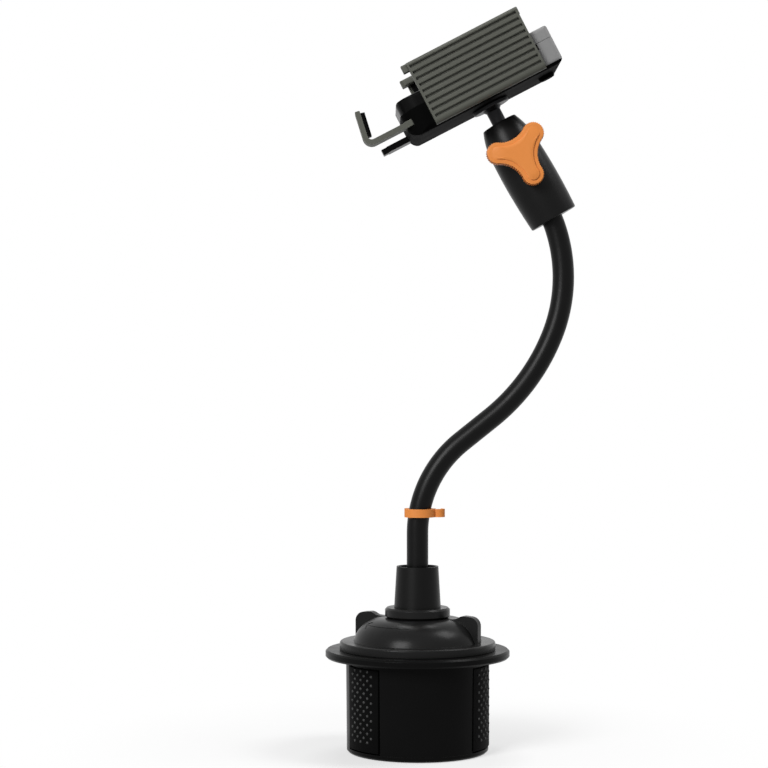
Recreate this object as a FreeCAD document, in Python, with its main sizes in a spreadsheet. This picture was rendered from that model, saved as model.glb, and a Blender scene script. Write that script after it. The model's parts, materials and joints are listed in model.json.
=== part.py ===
import FreeCAD, Part
import math
import os
import re
import Sketcher

# A phone holder on a bendable neck. Its foot is an expanding plug for a cup holder: a dial with
# scroll grooves in its underside pushes three jaws outwards. The neck carries a split barrel with
# a ball joint, and on the ball sits a cradle with two ribbed arms, a sliding foot and a support bar.
# The frame's origin is the centre of the base's underside, +Z is up, +X is the side that the
# neck leans to, and -Y is the side of the clamp knob. Lengths are millimetres, angles degrees.

V = FreeCAD.Vector
FAR = 200.0  # longer than any piece, for the shapes that cut

SIZES = {
    # base
    "base_radius": 35.2,
    "base_taper": 0.4,
    "base_wall": 2.6,
    "floor_height": 2.5,
    "flange_radius": 45.3,
    "flange_bottom": 46.0,
    "flange_thickness": 4.0,
    "edge_round": 0.9,
    "slide_gap": 0.3,
    "face_gap": 0.1,
    "running_gap": 0.06,
    "seat_gap": 0.05,
    "past": 1.0,
    "small_round": 0.5,
    # jaws
    "jaw_azimuth": -142.0,
    "jaw_width": 23.4,
    "jaw_top": 43.4,
    "jaw_inner": 20.5,
    "jaw_travel": 7.0,
    "jaw_pocket_wall": 2.4,
    "pad_thickness": 1.4,
    "pad_margin": 0.5,
    "cam_pin_radius": 1.5,
    "cam_pin_orbit": 22.9,
    "cam_post_radius": 2.2,
    "groove_depth": 2.2,
    "guide_rib": 2.0,
    "dial_turn": 90.0,
    "groove_spare": 6.0,
    # dial
    "dial_radius": 38.3,
    "dial_rim": 3.9,
    "dome_radius": 31.5,
    "dome_top_radius": 17.5,
    "dome_height": 15.3,
    "dome_bulge": 2.2,
    "wing_azimuth": -25.0,
    "wing_reach": 32.9,
    "wing_height": 17.5,
    "wing_thickness": 4.2,
    "wing_root": 4.0,
    "wing_lift": 0.4,
    "wing_flat": 8.5,
    "wing_drop": 0.8,
    "wing_round": 4.5,
    # centre column, collar and neck sleeve
    "column_radius": 9.0,
    "column_flange_radius": 14.5,
    "column_flange": 3.0,
    "column_bottom": 12.0,
    "thread_radius": 8.2,
    "collar_radius": 16.0,
    "collar_height": 5.0,
    "sleeve_radius": 11.5,
    "sleeve_top_radius": 10.3,
    "sleeve_height": 20.2,
    "sleeve_rim": 1.0,
    "sleeve_rim_depth": 2.0,
    # screws
    "screw_radius": 1.2,
    "screw_head_radius": 2.3,
    "screw_head": 1.4,
    "screw_orbit": 28.6,
    "boss_radius": 3.2,
    "column_screw_orbit": 11.7,
    "column_screw_grip": 2.5,
    "floor_screw_length": 11.0,
    "shell_screw_length": 11.0,
    "stud_screw_depth": 9.0,
    "tip_gap": 0.2,
    "anchor_nut_flats": 13.0,
    "anchor_nut_thickness": 4.0,
    # neck
    "neck_radius": 5.3,
    "sheath_wall": 1.1,
    "core_radius": 3.2,
    "core_ball": 2.3,
    "core_standoff": 0.2,
    "core_cup": 0.4,
    "sheath_start": 30.0,
    "neck_straight_top": 106.8,
    "neck_bend_1_radius": 58.0,
    "neck_bend_1": 51.3,
    "neck_run": 18.5,
    "neck_bend_2_radius": 99.2,
    "neck_bend_2": 29.9,
    "neck_bend_3_radius": 77.3,
    "neck_bend_3": 51.4,
    "neck_end_run": 17.7,
    "hinge_first": 104.0,
    "hinge_end_run": 44.0,
    # cable clip
    "clip_height": 117.0,
    "clip_thickness": 4.0,
    "clip_bore": 5.8,
    "clip_radius": 8.1,
    "clip_opening": 7.0,
    "hook_offset": 9.3,
    "hook_radius": 3.3,
    "hook_bore": 2.1,
    # barrel
    "barrel_below": 46.6,
    "barrel_above": 7.5,
    "barrel_bottom_radius": 12.2,
    "barrel_bulge_radius": 12.95,
    "barrel_bulge_at": 25.0,
    "barrel_shoulder_radius": 12.45,
    "barrel_shoulder_at": 8.5,
    "barrel_rim_radius": 8.9,
    "barrel_rim_height": 1.3,
    "barrel_crown_radius": 11.5,
    "barrel_crown_at": 0.4,
    "barrel_bottom_round": 0.7,
    "barrel_slit": 1.0,
    "barrel_slit_depth": 27.0,
    "ball_above_neck_end": 17.5,
    "ferrule_radius": 4.8,
    "ferrule_length": 12.0,
    # ball joint
    "ball_radius": 6.2,
    "seat_radius": 7.4,
    "seat_low": 5.0,
    "seat_high": 3.0,
    "mouth_low": 4.2,
    "mouth_radius": 7.3,
    "stem_radius": 3.6,
    "stem_flare": 1.6,
    "stud_flange_radius": 9.5,
    "stud_flange_low": 15.7,
    "spigot_radius": 5.0,
    "washer_radius": 8.0,
    "washer_thickness": 1.2,
    # clamp knob
    "clamp_axis": 11.9,
    "clamp_screw_radius": 2.0,
    "spot_face": 11.2,
    "spot_margin": 1.2,
    "nut_flats": 7.0,
    "nut_thickness": 3.0,
    "knob_lobe_radius": 5.4,
    "knob_lobe_orbit": 11.5,
    "knob_waist": 8.1,
    "knob_hub_radius": 5.0,
    "knob_hub": 2.3,
    "knob_thickness": 7.0,
    "knob_plateau": 0.8,
    "knob_step": 2.4,
    "knob_round": 0.7,
    "knob_cover": 2.0,
    # cradle
    "cradle_lean": 27.4,
    "cradle_back": 17.9,
    "cradle_depth": 19.5,
    "cradle_up": 38.9,
    "cradle_down": 43.0,
    "cradle_half_width": 25.0,
    "cradle_wall": 2.0,
    "cradle_corner_down": 10.0,
    "cradle_corner_up": 2.5,
    "cradle_back_round_down": 5.5,
    "cradle_back_round_up": 3.0,
    "cradle_front_round": 1.8,
    "cradle_side_round": 3.0,
    "parting_line": 31.0,
    "parting_step": 0.2,
    "front_pad": 1.0,
    "front_pad_margin": 4.0,
    "front_pad_down": 29.0,
    "cap_start": 27.0,
    "cap_low": 19.5,
    "cap_wall": 1.0,
    "cap_groove": 0.4,
    "cap_slot_at": 28.8,
    "cap_slot": 1.7,
    "cap_slot_height": 3.0,
    "shell_boss_radius": 3.4,
    "shell_screw_x_up": 29.5,
    "shell_screw_y_up": 18.0,
    "shell_screw_x_down": 35.0,
    "shell_screw_y_down": 6.0,
    # arms
    "arm_face": 29.0,
    "arm_wall": 2.4,
    "rib_count": 9,
    "rib_first": 22.1,
    "rib_pitch": 3.3,
    "rib_height": 1.1,
    "rib_groove": 1.05,
    "rib_chamfer": 0.6,
    "arm_low": 18.4,
    "arm_high": 51.2,
    "arm_down": 29.8,
    "arm_up": 29.3,
    "arm_rim": 1.0,
    "arm_curl": 2.2,
    "arm_edge": 1.0,
    "lip_thickness": 3.7,
    "lip_reach": 8.5,
    "lip_overhang_down": 2.8,
    "lip_overhang_up": 0.7,
    "lip_corner": 2.5,
    "lip_round": 1.5,
    "tongue_width": 8.0,
    "tongue_offset": 5.2,
    "tongue_thickness": 2.8,
    "tongue_low": 31.3,
    "tongue_reach": 20.0,
    "arm_pad": 0.9,
    "arm_pad_inset": 1.5,
    # release button
    "button_x": 31.0,
    "button_radius": 4.05,
    "button_proud": 2.0,
    "button_round": 0.9,
    "button_flange": 0.9,
    "button_flange_reach": 0.8,
    # foot and support bar
    "foot_offset": 17.0,
    "foot_width": 11.0,
    "foot_thickness": 2.5,
    "foot_level": 24.3,
    "foot_corner": 65.2,
    "foot_inner": 15.0,
    "foot_root": 43.2,
    "foot_root_step": 0.25,
    "foot_bend": 2.1,
    "hook_length": 18.4,
    "hook_lean": 10.0,
    "foot_pad": 1.2,
    "ridge_height": 0.9,
    "foot_pad_inset": 0.8,
    "bar_level": 21.0,
    "bar_thickness": 3.0,
    "bar_shaft_end": 54.3,
    "bar_tip": 2.8,
    "bar_tip_inset": 2.0,
}

doc = FreeCAD.newDocument("holder")
sheet = doc.addObject("Spreadsheet::Sheet", "Sizes")
rows = {}


def add_row(name, value):
    """Put one named value in the sheet, as a plain number."""
    rows[name] = len(rows) + 1
    sheet.set("A%d" % rows[name], name)
    sheet.set("B%d" % rows[name], repr(float(value)))
    sheet.setAlias("B%d" % rows[name], name)


for size_name, size_value in SIZES.items():
    add_row(size_name, size_value)
doc.recompute()


class Sheet:
    """Reads a size from the sheet by its name."""

    def __getattr__(self, name):
        return float(sheet.get(name))


s = Sheet()


def sine(angle):
    return math.sin(math.radians(angle))


def cosine(angle):
    return math.cos(math.radians(angle))


# The neck's centre line lies in the plane Y = 0. Each run is (length, turn to the right).
def neck_runs():
    first = s.neck_straight_top - s.column_bottom
    return [
        (first, 0.0),
        (math.radians(s.neck_bend_1) * s.neck_bend_1_radius, s.neck_bend_1),
        (s.neck_run, 0.0),
        (math.radians(s.neck_bend_2) * s.neck_bend_2_radius, -s.neck_bend_2),
        (math.radians(s.neck_bend_3) * s.neck_bend_3_radius, -s.neck_bend_3),
        (s.neck_end_run, 0.0),
    ]


def advance(point, heading, length, turn):
    """Move along a straight or round run, and return the new point and heading."""
    if turn == 0.0:
        return point + V(sine(heading), 0, cosine(heading)) * length, heading
    radius = length / math.radians(turn)
    centre = point + V(cosine(heading), 0, -sine(heading)) * radius
    heading = heading + turn
    return centre - V(cosine(heading), 0, -sine(heading)) * radius, heading


def neck_at(distance):
    """Point and heading on the centre line, at a distance from the column's bottom."""
    point, heading = V(0, 0, s.column_bottom), 0.0
    for length, turn in neck_runs():
        step = min(length, distance)
        point, heading = advance(point, heading, step, turn * step / length)
        distance -= step
        if distance <= 0:
            break
    return point, heading


def neck_wire(start, end):
    """The stretch of the centre line between two distances, as lines and arcs."""
    edges = []
    passed = 0.0
    for length, turn in neck_runs():
        low, high = max(start, passed), min(end, passed + length)
        if high - low > 1e-6:
            first = neck_at(low)[0]
            last = neck_at(high)[0]
            if turn == 0.0:
                edges.append(Part.LineSegment(first, last).toShape())
            else:
                middle = neck_at((low + high) / 2)[0]
                edges.append(Part.Arc(first, middle, last).toShape())
        passed += length
    return Part.Wire(edges)


neck_length = sum(length for length, turn in neck_runs())
neck_end, neck_end_heading = neck_at(neck_length)
barrel_lean = -neck_end_heading
ball_centre, _ = advance(neck_end, neck_end_heading, s.ball_above_neck_end, 0.0)

# Places that follow from the driving sizes
flange_top = s.flange_bottom + s.flange_thickness
PLACES = {
    "flange_top": flange_top,
    "base_inner": s.base_radius - s.base_wall,
    "dial_bottom": flange_top + s.face_gap,
    "collar_bottom": flange_top + 2 * s.face_gap + s.dome_height,
    "collar_top": flange_top + 2 * s.face_gap + s.dome_height + s.collar_height,
}
for place_name, place_value in PLACES.items():
    add_row(place_name, place_value)
doc.recompute()


def bound(expression):
    """Write the sheet's name in front of each size in an expression."""
    return re.sub(r"[a-z][a-z_0-9]*", lambda m: "Sizes." + m.group() if m.group() in rows else m.group(),
                  expression)


def value(expression):
    return float(sheet.evalExpression(bound(expression)))


def put(thing, x="0", y="0", z="0", axis=(0, 0, 1), angle="0"):
    """Place an object by expressions for its position and its turn about an axis."""
    thing.Placement = FreeCAD.Placement(V(value(x), value(y), value(z)),
                                        FreeCAD.Rotation(V(*axis), value(angle)))
    for name, expression in (("x", x), ("y", y), ("z", z)):
        if expression != "0":
            thing.setExpression("Placement.Base." + name, bound(expression))
    if angle != "0":
        thing.setExpression("Placement.Rotation.Angle", bound(angle))
    return thing


barrel_frame = FreeCAD.Placement(ball_centre, FreeCAD.Rotation(V(0, 1, 0), -barrel_lean))
cradle_frame = FreeCAD.Placement(ball_centre, FreeCAD.Rotation(V(0, 1, 0), -s.cradle_lean))


def sketch_on(body, role, points, level="0"):
    """A closed sketch whose corners are pairs of expressions."""
    sketch = body.newObject("Sketcher::SketchObject", "Profile")
    plane = [item for item in body.Origin.OriginFeatures if item.Role == role][0]
    sketch.AttachmentSupport = [(plane, "")]
    sketch.MapMode = "FlatFace"
    if level != "0":
        sketch.setExpression("AttachmentOffset.Base.z", bound(level))
    corners = [(value(x), value(y)) for x, y in points]
    count = len(corners)
    for i in range(count):
        (x0, y0), (x1, y1) = corners[i], corners[(i + 1) % count]
        sketch.addGeometry(Part.LineSegment(V(x0, y0, 0), V(x1, y1, 0)))
    for i in range(count):
        sketch.addConstraint(Sketcher.Constraint("Coincident", i, 2, (i + 1) % count, 1))
        for kind, expression, number in (("DistanceX", points[i][0], corners[i][0]),
                                         ("DistanceY", points[i][1], corners[i][1])):
            index = sketch.addConstraint(Sketcher.Constraint(kind, i, 1, number))
            if not re.fullmatch(r"[-0-9.]+", expression):
                sketch.setExpression("Constraints[%d]" % index, bound(expression))
    return sketch


def revolved(label, points):
    """A body turned about the vertical axis; points are pairs (radius, height)."""
    body = doc.addObject("PartDesign::Body", label)
    body.Label = label
    turn = body.newObject("PartDesign::Revolution", "Turn")
    sketch = sketch_on(body, "XZ_Plane", points)
    turn.Profile = sketch
    turn.ReferenceAxis = (sketch, ["V_Axis"])
    turn.Angle = 360
    body.Tip = turn
    return body


def block(label, x, y, z):
    """A box from three pairs of expressions, each the low and the high side."""
    thing = doc.addObject("Part::Box", label)
    for side, (low, high) in (("Length", x), ("Width", y), ("Height", z)):
        thing.setExpression(side, bound("(%s) - (%s)" % (high, low)))
    return put(thing, x[0], y[0], z[0])


def rod(label, radius, low, high, x="0", y="0"):
    """An upright cylinder between two levels."""
    thing = doc.addObject("Part::Cylinder", label)
    thing.setExpression("Radius", bound(radius))
    thing.setExpression("Height", bound("(%s) - (%s)" % (high, low)))
    return put(thing, x, y, low)


def joined(label, things):
    result = doc.addObject("Part::MultiFuse", label)
    result.Shapes = things
    result.Label = label
    return result


def cut(label, base, tools):
    result = doc.addObject("Part::Cut", label)
    result.Base = base
    result.Tool = tools[0] if len(tools) == 1 else joined(label + "_tools", tools)
    result.Label = label
    return result


def common(label, first, second):
    result = doc.addObject("Part::Common", label)
    result.Base = first
    result.Tool = second
    result.Label = label
    return result


def around(label, thing, angle):
    """A copy of the thing's shape, turned about the vertical axis."""
    result = doc.addObject("Part::Compound", label)
    result.Links = [thing]
    return put(result, angle=angle)


def shaped(label, shape, frame=FreeCAD.Placement()):
    """A feature whose shape is worked out here from the sheet's values, in a frame of its own."""
    result = doc.addObject("Part::Feature", label)
    result.Shape = shape
    result.Placement = frame.multiply(shape.Placement)
    result.Label = label
    return result


def outline(points):
    """A closed wire in the XY plane. A point is (x, y), (x, y, corner radius), or a pair of
    points ((x, y), (x, y)), an arc through the first to the second."""
    ends = [p[1] if isinstance(p[0], tuple) else p for p in points]
    edges = []
    trims = []
    count = len(points)
    for i in range(count):
        here = V(ends[i][0], ends[i][1], 0)
        radius = ends[i][2] if len(ends[i]) > 2 else 0.0
        if radius > 0:
            before = V(ends[i - 1][0], ends[i - 1][1], 0)
            after = V(ends[(i + 1) % count][0], ends[(i + 1) % count][1], 0)
            a, b = (before - here).normalize(), (after - here).normalize()
            half = a.getAngle(b) / 2
            reach = radius / math.tan(half)
            middle = here + (a + b).normalize() * (radius / math.sin(half) - radius)
            trims.append((here + a * reach, middle, here + b * reach))
        else:
            trims.append((here, None, here))
    for i in range(count):
        start, middle, end = trims[i]
        if middle is not None:
            edges.append(Part.Arc(start, middle, end).toShape())
        following = points[(i + 1) % count]
        target = trims[(i + 1) % count][0]
        if isinstance(following[0], tuple):
            edges.append(Part.Arc(end, V(following[0][0], following[0][1], 0), target).toShape())
        elif (target - end).Length > 1e-6:
            edges.append(Part.LineSegment(end, target).toShape())
    return Part.Wire(edges)


def turned_solid(points):
    """A solid of revolution about Z from an outline of (radius, height)."""
    face = Part.Face(outline(points))
    face.rotate(V(0, 0, 0), V(1, 0, 0), 90)
    return face.revolve(V(0, 0, 0), V(0, 0, 1), 360)


def slab(points, low, high):
    """An outline in the XY plane, pushed up between two levels."""
    face = Part.Face(outline(points))
    face.translate(V(0, 0, low))
    return face.extrude(V(0, 0, high - low))


def side_slab(points, low, high):
    """An outline given as (x, z), pushed along Y between two sides."""
    face = Part.Face(outline(points))
    face.rotate(V(0, 0, 0), V(1, 0, 0), 90)
    face.translate(V(0, low, 0))
    return face.extrude(V(0, high - low, 0))


def end_slab(points, low, high):
    """An outline given as (y, z), pushed along X between two ends."""
    face = Part.Face(outline(points))
    face.rotate(V(0, 0, 0), V(1, 0, 0), 90)
    face.rotate(V(0, 0, 0), V(0, 0, 1), 90)
    face.translate(V(low, 0, 0))
    return face.extrude(V(high - low, 0, 0))


def cylinder_along_y(radius, low, high, z):
    return Part.makeCylinder(radius, high - low, V(0, low, z), V(0, 1, 0))


def level_box(low, high):
    """All the space between two levels."""
    return Part.makeBox(2 * FAR, 2 * FAR, high - low, V(-FAR, -FAR, low))


jaw_turns = ["jaw_azimuth + %d" % (120 * i) for i in range(3)]
boss_turns = ["jaw_azimuth + %d" % (120 * i + 60) for i in range(3)]
nodes = {}


def keep(thing):
    """Note an object as one of the holder's pieces."""
    nodes[thing.Label] = thing
    return thing


# Base body: a tapered cup with a flange, three windows for the jaws, guide ribs and screw bosses
def make_base_body():
    shell = revolved("base_shell", [
        ("base_inner", "floor_height"),
        ("base_radius - base_taper", "floor_height"),
        ("base_radius", "flange_bottom"),
        ("flange_radius - edge_round", "flange_bottom"),
        ("flange_radius", "flange_bottom + edge_round"),
        ("flange_radius", "flange_top - edge_round"),
        ("flange_radius - edge_round", "flange_top"),
        ("column_radius + seat_gap", "flange_top"),
        ("column_radius + seat_gap", "flange_bottom"),
        ("base_inner", "flange_bottom"),
    ])
    added = [shell]
    removed = []
    inner_side = "jaw_width / 2 + slide_gap"
    for i, turn in enumerate(jaw_turns):
        for side in (1, -1):
            low, high = (inner_side, inner_side + " + guide_rib")
            if side < 0:
                low, high = "0 - (%s)" % high, "0 - (%s)" % low
            rib = block("rib_%d_%d" % (i, side), ("jaw_inner - past", "base_inner + base_wall / 2"),
                        (low, high), ("floor_height", "flange_bottom + past"))
            limit = rod("rib_limit_%d_%d" % (i, side), "base_inner + base_wall / 2", "floor_height",
                        "flange_bottom + past")
            rib = common("rib_round_%d_%d" % (i, side), rib, limit)
            added.append(around("rib_turned_%d_%d" % (i, side), rib, turn))
        window = block("window_%d" % i, ("base_inner - guide_rib * 2", "base_radius + guide_rib * 2"),
                       ("0 - (%s)" % inner_side, inner_side),
                       ("floor_height - past", "jaw_top + slide_gap"))
        removed.append(around("window_turned_%d" % i, window, turn))
        slot_side = "cam_pin_radius + slide_gap"
        slot = block("slot_%d" % i,
                     ("cam_pin_orbit - (%s)" % slot_side, "cam_pin_orbit + jaw_travel + " + slot_side),
                     ("0 - (%s)" % slot_side, slot_side), ("flange_bottom - past", "flange_top + past"))
        removed.append(around("slot_turned_%d" % i, slot, turn))
    for i, turn in enumerate(boss_turns):
        boss = rod("boss_%d" % i, "boss_radius", "floor_height", "flange_bottom + past", "screw_orbit")
        added.append(around("boss_turned_%d" % i, boss, turn))
        pilot = rod("pilot_%d" % i, "screw_radius + seat_gap", "floor_height - past",
                    "floor_height + floor_screw_length", "screw_orbit")
        removed.append(around("pilot_turned_%d" % i, pilot, turn))
        upper = rod("upper_pilot_%d" % i, "screw_radius + seat_gap", "flange_bottom - past",
                    "flange_bottom + column_screw_grip + tip_gap", "column_screw_orbit")
        removed.append(around("upper_pilot_turned_%d" % i, upper, turn))
    keep(cut("base_body", joined("base_solid", added), removed))


def make_base_floor():
    disc = revolved("floor_disc", [
        ("0", "0"),
        ("base_radius - base_taper - edge_round", "0"),
        ("base_radius - base_taper", "edge_round"),
        ("base_radius - base_taper", "floor_height"),
        ("0", "floor_height"),
    ])
    holes = []
    for i, turn in enumerate(boss_turns):
        hole = rod("floor_hole_%d" % i, "screw_radius + seat_gap", "0 - past", "floor_height + past", "screw_orbit")
        sink = rod("floor_sink_%d" % i, "screw_head_radius + slide_gap", "0 - past", "screw_head + slide_gap",
                   "screw_orbit")
        holes.append(around("floor_hole_turned_%d" % i, hole, turn))
        holes.append(around("floor_sink_turned_%d" % i, sink, turn))
    keep(cut("base_floor", disc, holes))


def screw(radius, head_radius, head, length):
    """A pan-head screw pointing up, its head's underside at z = 0."""
    body = Part.makeCylinder(radius, length, V(0, 0, -head / 2))
    top = Part.makeCylinder(head_radius, head, V(0, 0, -head))
    slot = Part.makeBox(head_radius * 1.3, head_radius * 0.3, head / 3,
                        V(-head_radius * 0.65, -head_radius * 0.15, -head))
    cross = slot.copy()
    cross.rotate(V(0, 0, 0), V(0, 0, 1), 90)
    return body.fuse(top).cut(slot.fuse(cross)).removeSplitter()


def screw_ring(orbit, level, head, length):
    """Three screws at the boss positions, their heads' undersides at one level."""
    shapes = []
    for i in range(3):
        one = screw(s.screw_radius, s.screw_head_radius, head, length)
        one.translate(V(orbit, 0, level))
        one.rotate(V(0, 0, 0), V(0, 0, 1), s.jaw_azimuth + 120 * i + 60)
        shapes.append(one)
    return Part.makeCompound(shapes)


def make_base_screws():
    level = s.screw_head + s.slide_gap
    keep(shaped("floor_screws", screw_ring(s.screw_orbit, level, s.screw_head, s.floor_screw_length)))
    level = s.flange_bottom - s.column_flange
    length = s.column_flange + s.column_screw_grip + s.screw_head / 2
    keep(shaped("column_screws", screw_ring(s.column_screw_orbit, level, s.screw_head, length)))


# Centre column, fixed under the flange: the dial turns on it and the neck is anchored in it
def make_column():
    bore = "neck_radius + seat_gap"
    post = revolved("column_post", [
        ("core_radius + seat_gap", "column_bottom"),
        ("column_radius", "column_bottom"),
        ("column_radius", "flange_bottom - column_flange"),
        ("column_flange_radius", "flange_bottom - column_flange"),
        ("column_flange_radius", "flange_bottom"),
        ("column_radius", "flange_bottom"),
        ("column_radius", "collar_bottom"),
        ("thread_radius", "collar_bottom"),
        ("thread_radius", "collar_top - edge_round"),
        (bore, "collar_top - edge_round"),
        (bore, "sheath_start"),
        ("core_radius + seat_gap", "sheath_start"),
    ])
    holes = []
    for i, turn in enumerate(boss_turns):
        hole = rod("column_hole_%d" % i, "screw_radius + seat_gap", "flange_bottom - column_flange - past",
                   "flange_bottom + past", "column_screw_orbit")
        holes.append(around("column_hole_turned_%d" % i, hole, turn))
    keep(cut("centre_column", post, holes))
    bore = "neck_radius + seat_gap * 2"
    keep(revolved("dial_collar", [
        ("thread_radius + seat_gap", "collar_bottom"),
        ("collar_radius - edge_round", "collar_bottom"),
        ("collar_radius", "collar_bottom + edge_round"),
        ("collar_radius", "collar_top - edge_round"),
        ("collar_radius - edge_round", "collar_top"),
        (bore, "collar_top"),
        (bore, "collar_top - edge_round + seat_gap"),
        ("thread_radius + seat_gap", "collar_top - edge_round + seat_gap"),
    ]))
    keep(revolved("neck_sleeve", [
        (bore, "collar_top"),
        ("sleeve_radius", "collar_top"),
        ("sleeve_top_radius", "collar_top + sleeve_height"),
        ("sleeve_top_radius - sleeve_rim", "collar_top + sleeve_height"),
        ("sleeve_top_radius - sleeve_rim - slide_gap", "collar_top + sleeve_height - sleeve_rim_depth"),
        (bore, "collar_top + sleeve_height - sleeve_rim_depth"),
    ]))


def hexagon(flats):
    radius = flats / 2 / cosine(30)
    return [(radius * cosine(60 * i), radius * sine(60 * i)) for i in range(6)]


def make_anchor_nut():
    low = s.column_bottom - s.anchor_nut_thickness
    nut = slab(hexagon(s.anchor_nut_flats), low, s.column_bottom)
    nut = nut.cut(Part.makeCylinder(s.core_radius + s.seat_gap, s.anchor_nut_thickness + 2 * s.past,
                                    V(0, 0, low - s.past)))
    keep(shaped("anchor_nut", nut))


# Jaws: a hollow block with a post and a cam pin, and a rubber pad on its round face
def make_jaws():
    for i, turn in enumerate(jaw_turns):
        name = "jaw_%d" % (i + 1)
        face = "base_radius - pad_thickness"
        half = "jaw_width / 2"
        body = block(name + "_block", ("jaw_inner", "base_radius"), ("0 - jaw_width / 2", half),
                     ("floor_height + slide_gap", "jaw_top"))
        solid = common(name + "_round", body, rod(name + "_limit", face, "0", "flange_bottom"))
        pocket = block(name + "_pocket", ("jaw_inner - past", face + " - 2 * jaw_pocket_wall"),
                       ("jaw_pocket_wall - jaw_width / 2", "jaw_width / 2 - jaw_pocket_wall"),
                       ("floor_height + slide_gap + jaw_pocket_wall", "jaw_top - jaw_pocket_wall"))
        post = rod(name + "_post", "cam_post_radius", "jaw_top - jaw_pocket_wall",
                   "flange_bottom - slide_gap", "cam_pin_orbit")
        pin = rod(name + "_pin", "cam_pin_radius", "jaw_top", "dial_bottom + groove_depth - slide_gap",
                  "cam_pin_orbit")
        hollow = cut(name + "_hollow", solid, [pocket])
        keep(put(joined(name, [hollow, post, pin]), angle=turn))
        name = "grip_pad_%d" % (i + 1)
        sheet_block = block(name + "_block", ("jaw_inner", "base_radius + guide_rib * 2"),
                            ("pad_margin - jaw_width / 2", "jaw_width / 2 - pad_margin"),
                            ("floor_height + slide_gap + pad_margin", "jaw_top - pad_margin"))
        skin = cut(name + "_ring", rod(name + "_outer", "base_radius + seat_gap", "0", "flange_bottom"),
                   [rod(name + "_inner", face + " + seat_gap", "0 - past", "flange_bottom + past")])
        keep(put(common(name, skin, sheet_block), angle=turn))


def scroll_groove(azimuth):
    """One groove of the scroll: its radius grows evenly with the angle."""
    half = s.cam_pin_radius + s.slide_gap / 2
    per_degree = s.jaw_travel / s.dial_turn

    def ring(offset):
        points = []
        for i in range(9):
            turn = -s.groove_spare + (s.dial_turn + 2 * s.groove_spare) * i / 8
            radius = s.cam_pin_orbit + per_degree * turn + offset
            points.append(V(radius * cosine(azimuth + turn), radius * sine(azimuth + turn), 0))
        curve = Part.BSplineCurve()
        curve.interpolate(points)
        return curve.toShape(), points

    inner, inner_points = ring(-half)
    outer, outer_points = ring(half)
    start = Part.LineSegment(inner_points[0], outer_points[0]).toShape()
    end = Part.LineSegment(inner_points[-1], outer_points[-1]).toShape()
    face = Part.Face(Part.Wire(Part.__sortEdges__([inner, end, outer, start])))
    face.translate(V(0, 0, s.dial_bottom - s.past))
    return face.extrude(V(0, 0, s.groove_depth + s.past))


# Dial: a disc and a dome with two wings, turning on the column over the flange
def make_dial():
    low = s.dial_bottom
    rim = low + s.dial_rim
    top = low + s.dome_height
    middle = ((s.dome_radius + s.dome_top_radius) / 2 + s.dome_bulge, (rim + top) / 2 + s.dome_bulge)
    body = turned_solid([
        (s.column_radius + s.running_gap, low),
        (s.dial_radius, low),
        (s.dial_radius, rim, s.edge_round),
        (s.dome_radius, rim),
        (middle, (s.dome_top_radius, top)),
        (s.column_radius + s.running_gap, top),
    ])
    wing_top = flange_top + s.wing_height
    wing = side_slab([
        (s.dome_top_radius - s.wing_root, rim - s.past),
        (s.dome_top_radius - s.wing_root / 2, top),
        (s.dome_top_radius + s.wing_root, top + s.wing_lift, s.wing_round),
        (s.wing_reach - s.wing_flat, wing_top, s.wing_round),
        (s.wing_reach, wing_top - s.wing_drop, s.wing_round),
        (s.wing_reach, rim - s.past),
    ], -s.wing_thickness / 2, s.wing_thickness / 2)
    for turn in (s.wing_azimuth, s.wing_azimuth + 180):
        one = wing.copy()
        one.rotate(V(0, 0, 0), V(0, 0, 1), turn)
        body = body.fuse(one)
    for i in range(3):
        body = body.cut(scroll_groove(s.jaw_azimuth + 120 * i))
    keep(shaped("dial", body.removeSplitter()))


# Neck: a soft sheath over a metal core, which is divided into stretches with ball ends
sheath_first = s.sheath_start - s.column_bottom
sheath_end = neck_length - s.ferrule_length - s.face_gap
first_hinge = s.hinge_first - s.column_bottom
hinge_pitch = (neck_length - s.hinge_end_run - first_hinge) / 8
bend_hinges = [first_hinge + hinge_pitch * i for i in range(9)]
side_hinges = [first_hinge + hinge_pitch * (i + 0.5) for i in (1, 4, 6)]
hinges = sorted(bend_hinges + side_hinges)


def neck_rod(start, end, radius):
    """A round rod along the centre line between two distances."""
    point, heading = neck_at(start)
    direction = V(sine(heading), 0, cosine(heading))
    disc = Part.Face(Part.Wire(Part.makeCircle(radius, point, direction)))
    return neck_wire(start, end).makePipe(disc)


def make_neck():
    sheath = neck_rod(sheath_first, sheath_end, s.neck_radius)
    sheath = sheath.cut(neck_rod(sheath_first - s.past, sheath_end + s.past, s.neck_radius - s.sheath_wall))
    keep(shaped("neck_sheath", sheath))
    # Each stretch ends in a ball on a short shank, and the next one starts with a cup around it
    shank = s.core_ball * 0.6
    starts = [-s.anchor_nut_thickness] + [hinge - s.core_cup for hinge in hinges]
    ends = [hinge - s.core_ball - s.core_standoff for hinge in hinges] + [neck_length]
    for i, (start, end) in enumerate(zip(starts, ends)):
        piece = neck_rod(max(start, 0.0), end, s.core_radius)
        if i == 0:
            tail = Part.makeCylinder(s.core_radius, -start, V(0, 0, s.column_bottom + start))
            piece = piece.fuse(tail)
        else:
            hollow = Part.makeSphere(s.core_ball + s.running_gap, neck_at(hinges[i - 1])[0])
            piece = piece.cut(hollow)
        if i < len(hinges):
            centre, heading = neck_at(hinges[i])
            stub = neck_rod(end - s.core_standoff, hinges[i], shank)
            piece = piece.fuse(stub).fuse(Part.makeSphere(s.core_ball, centre))
        keep(shaped("neck_core_%02d" % i, piece.removeSplitter()))


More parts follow.
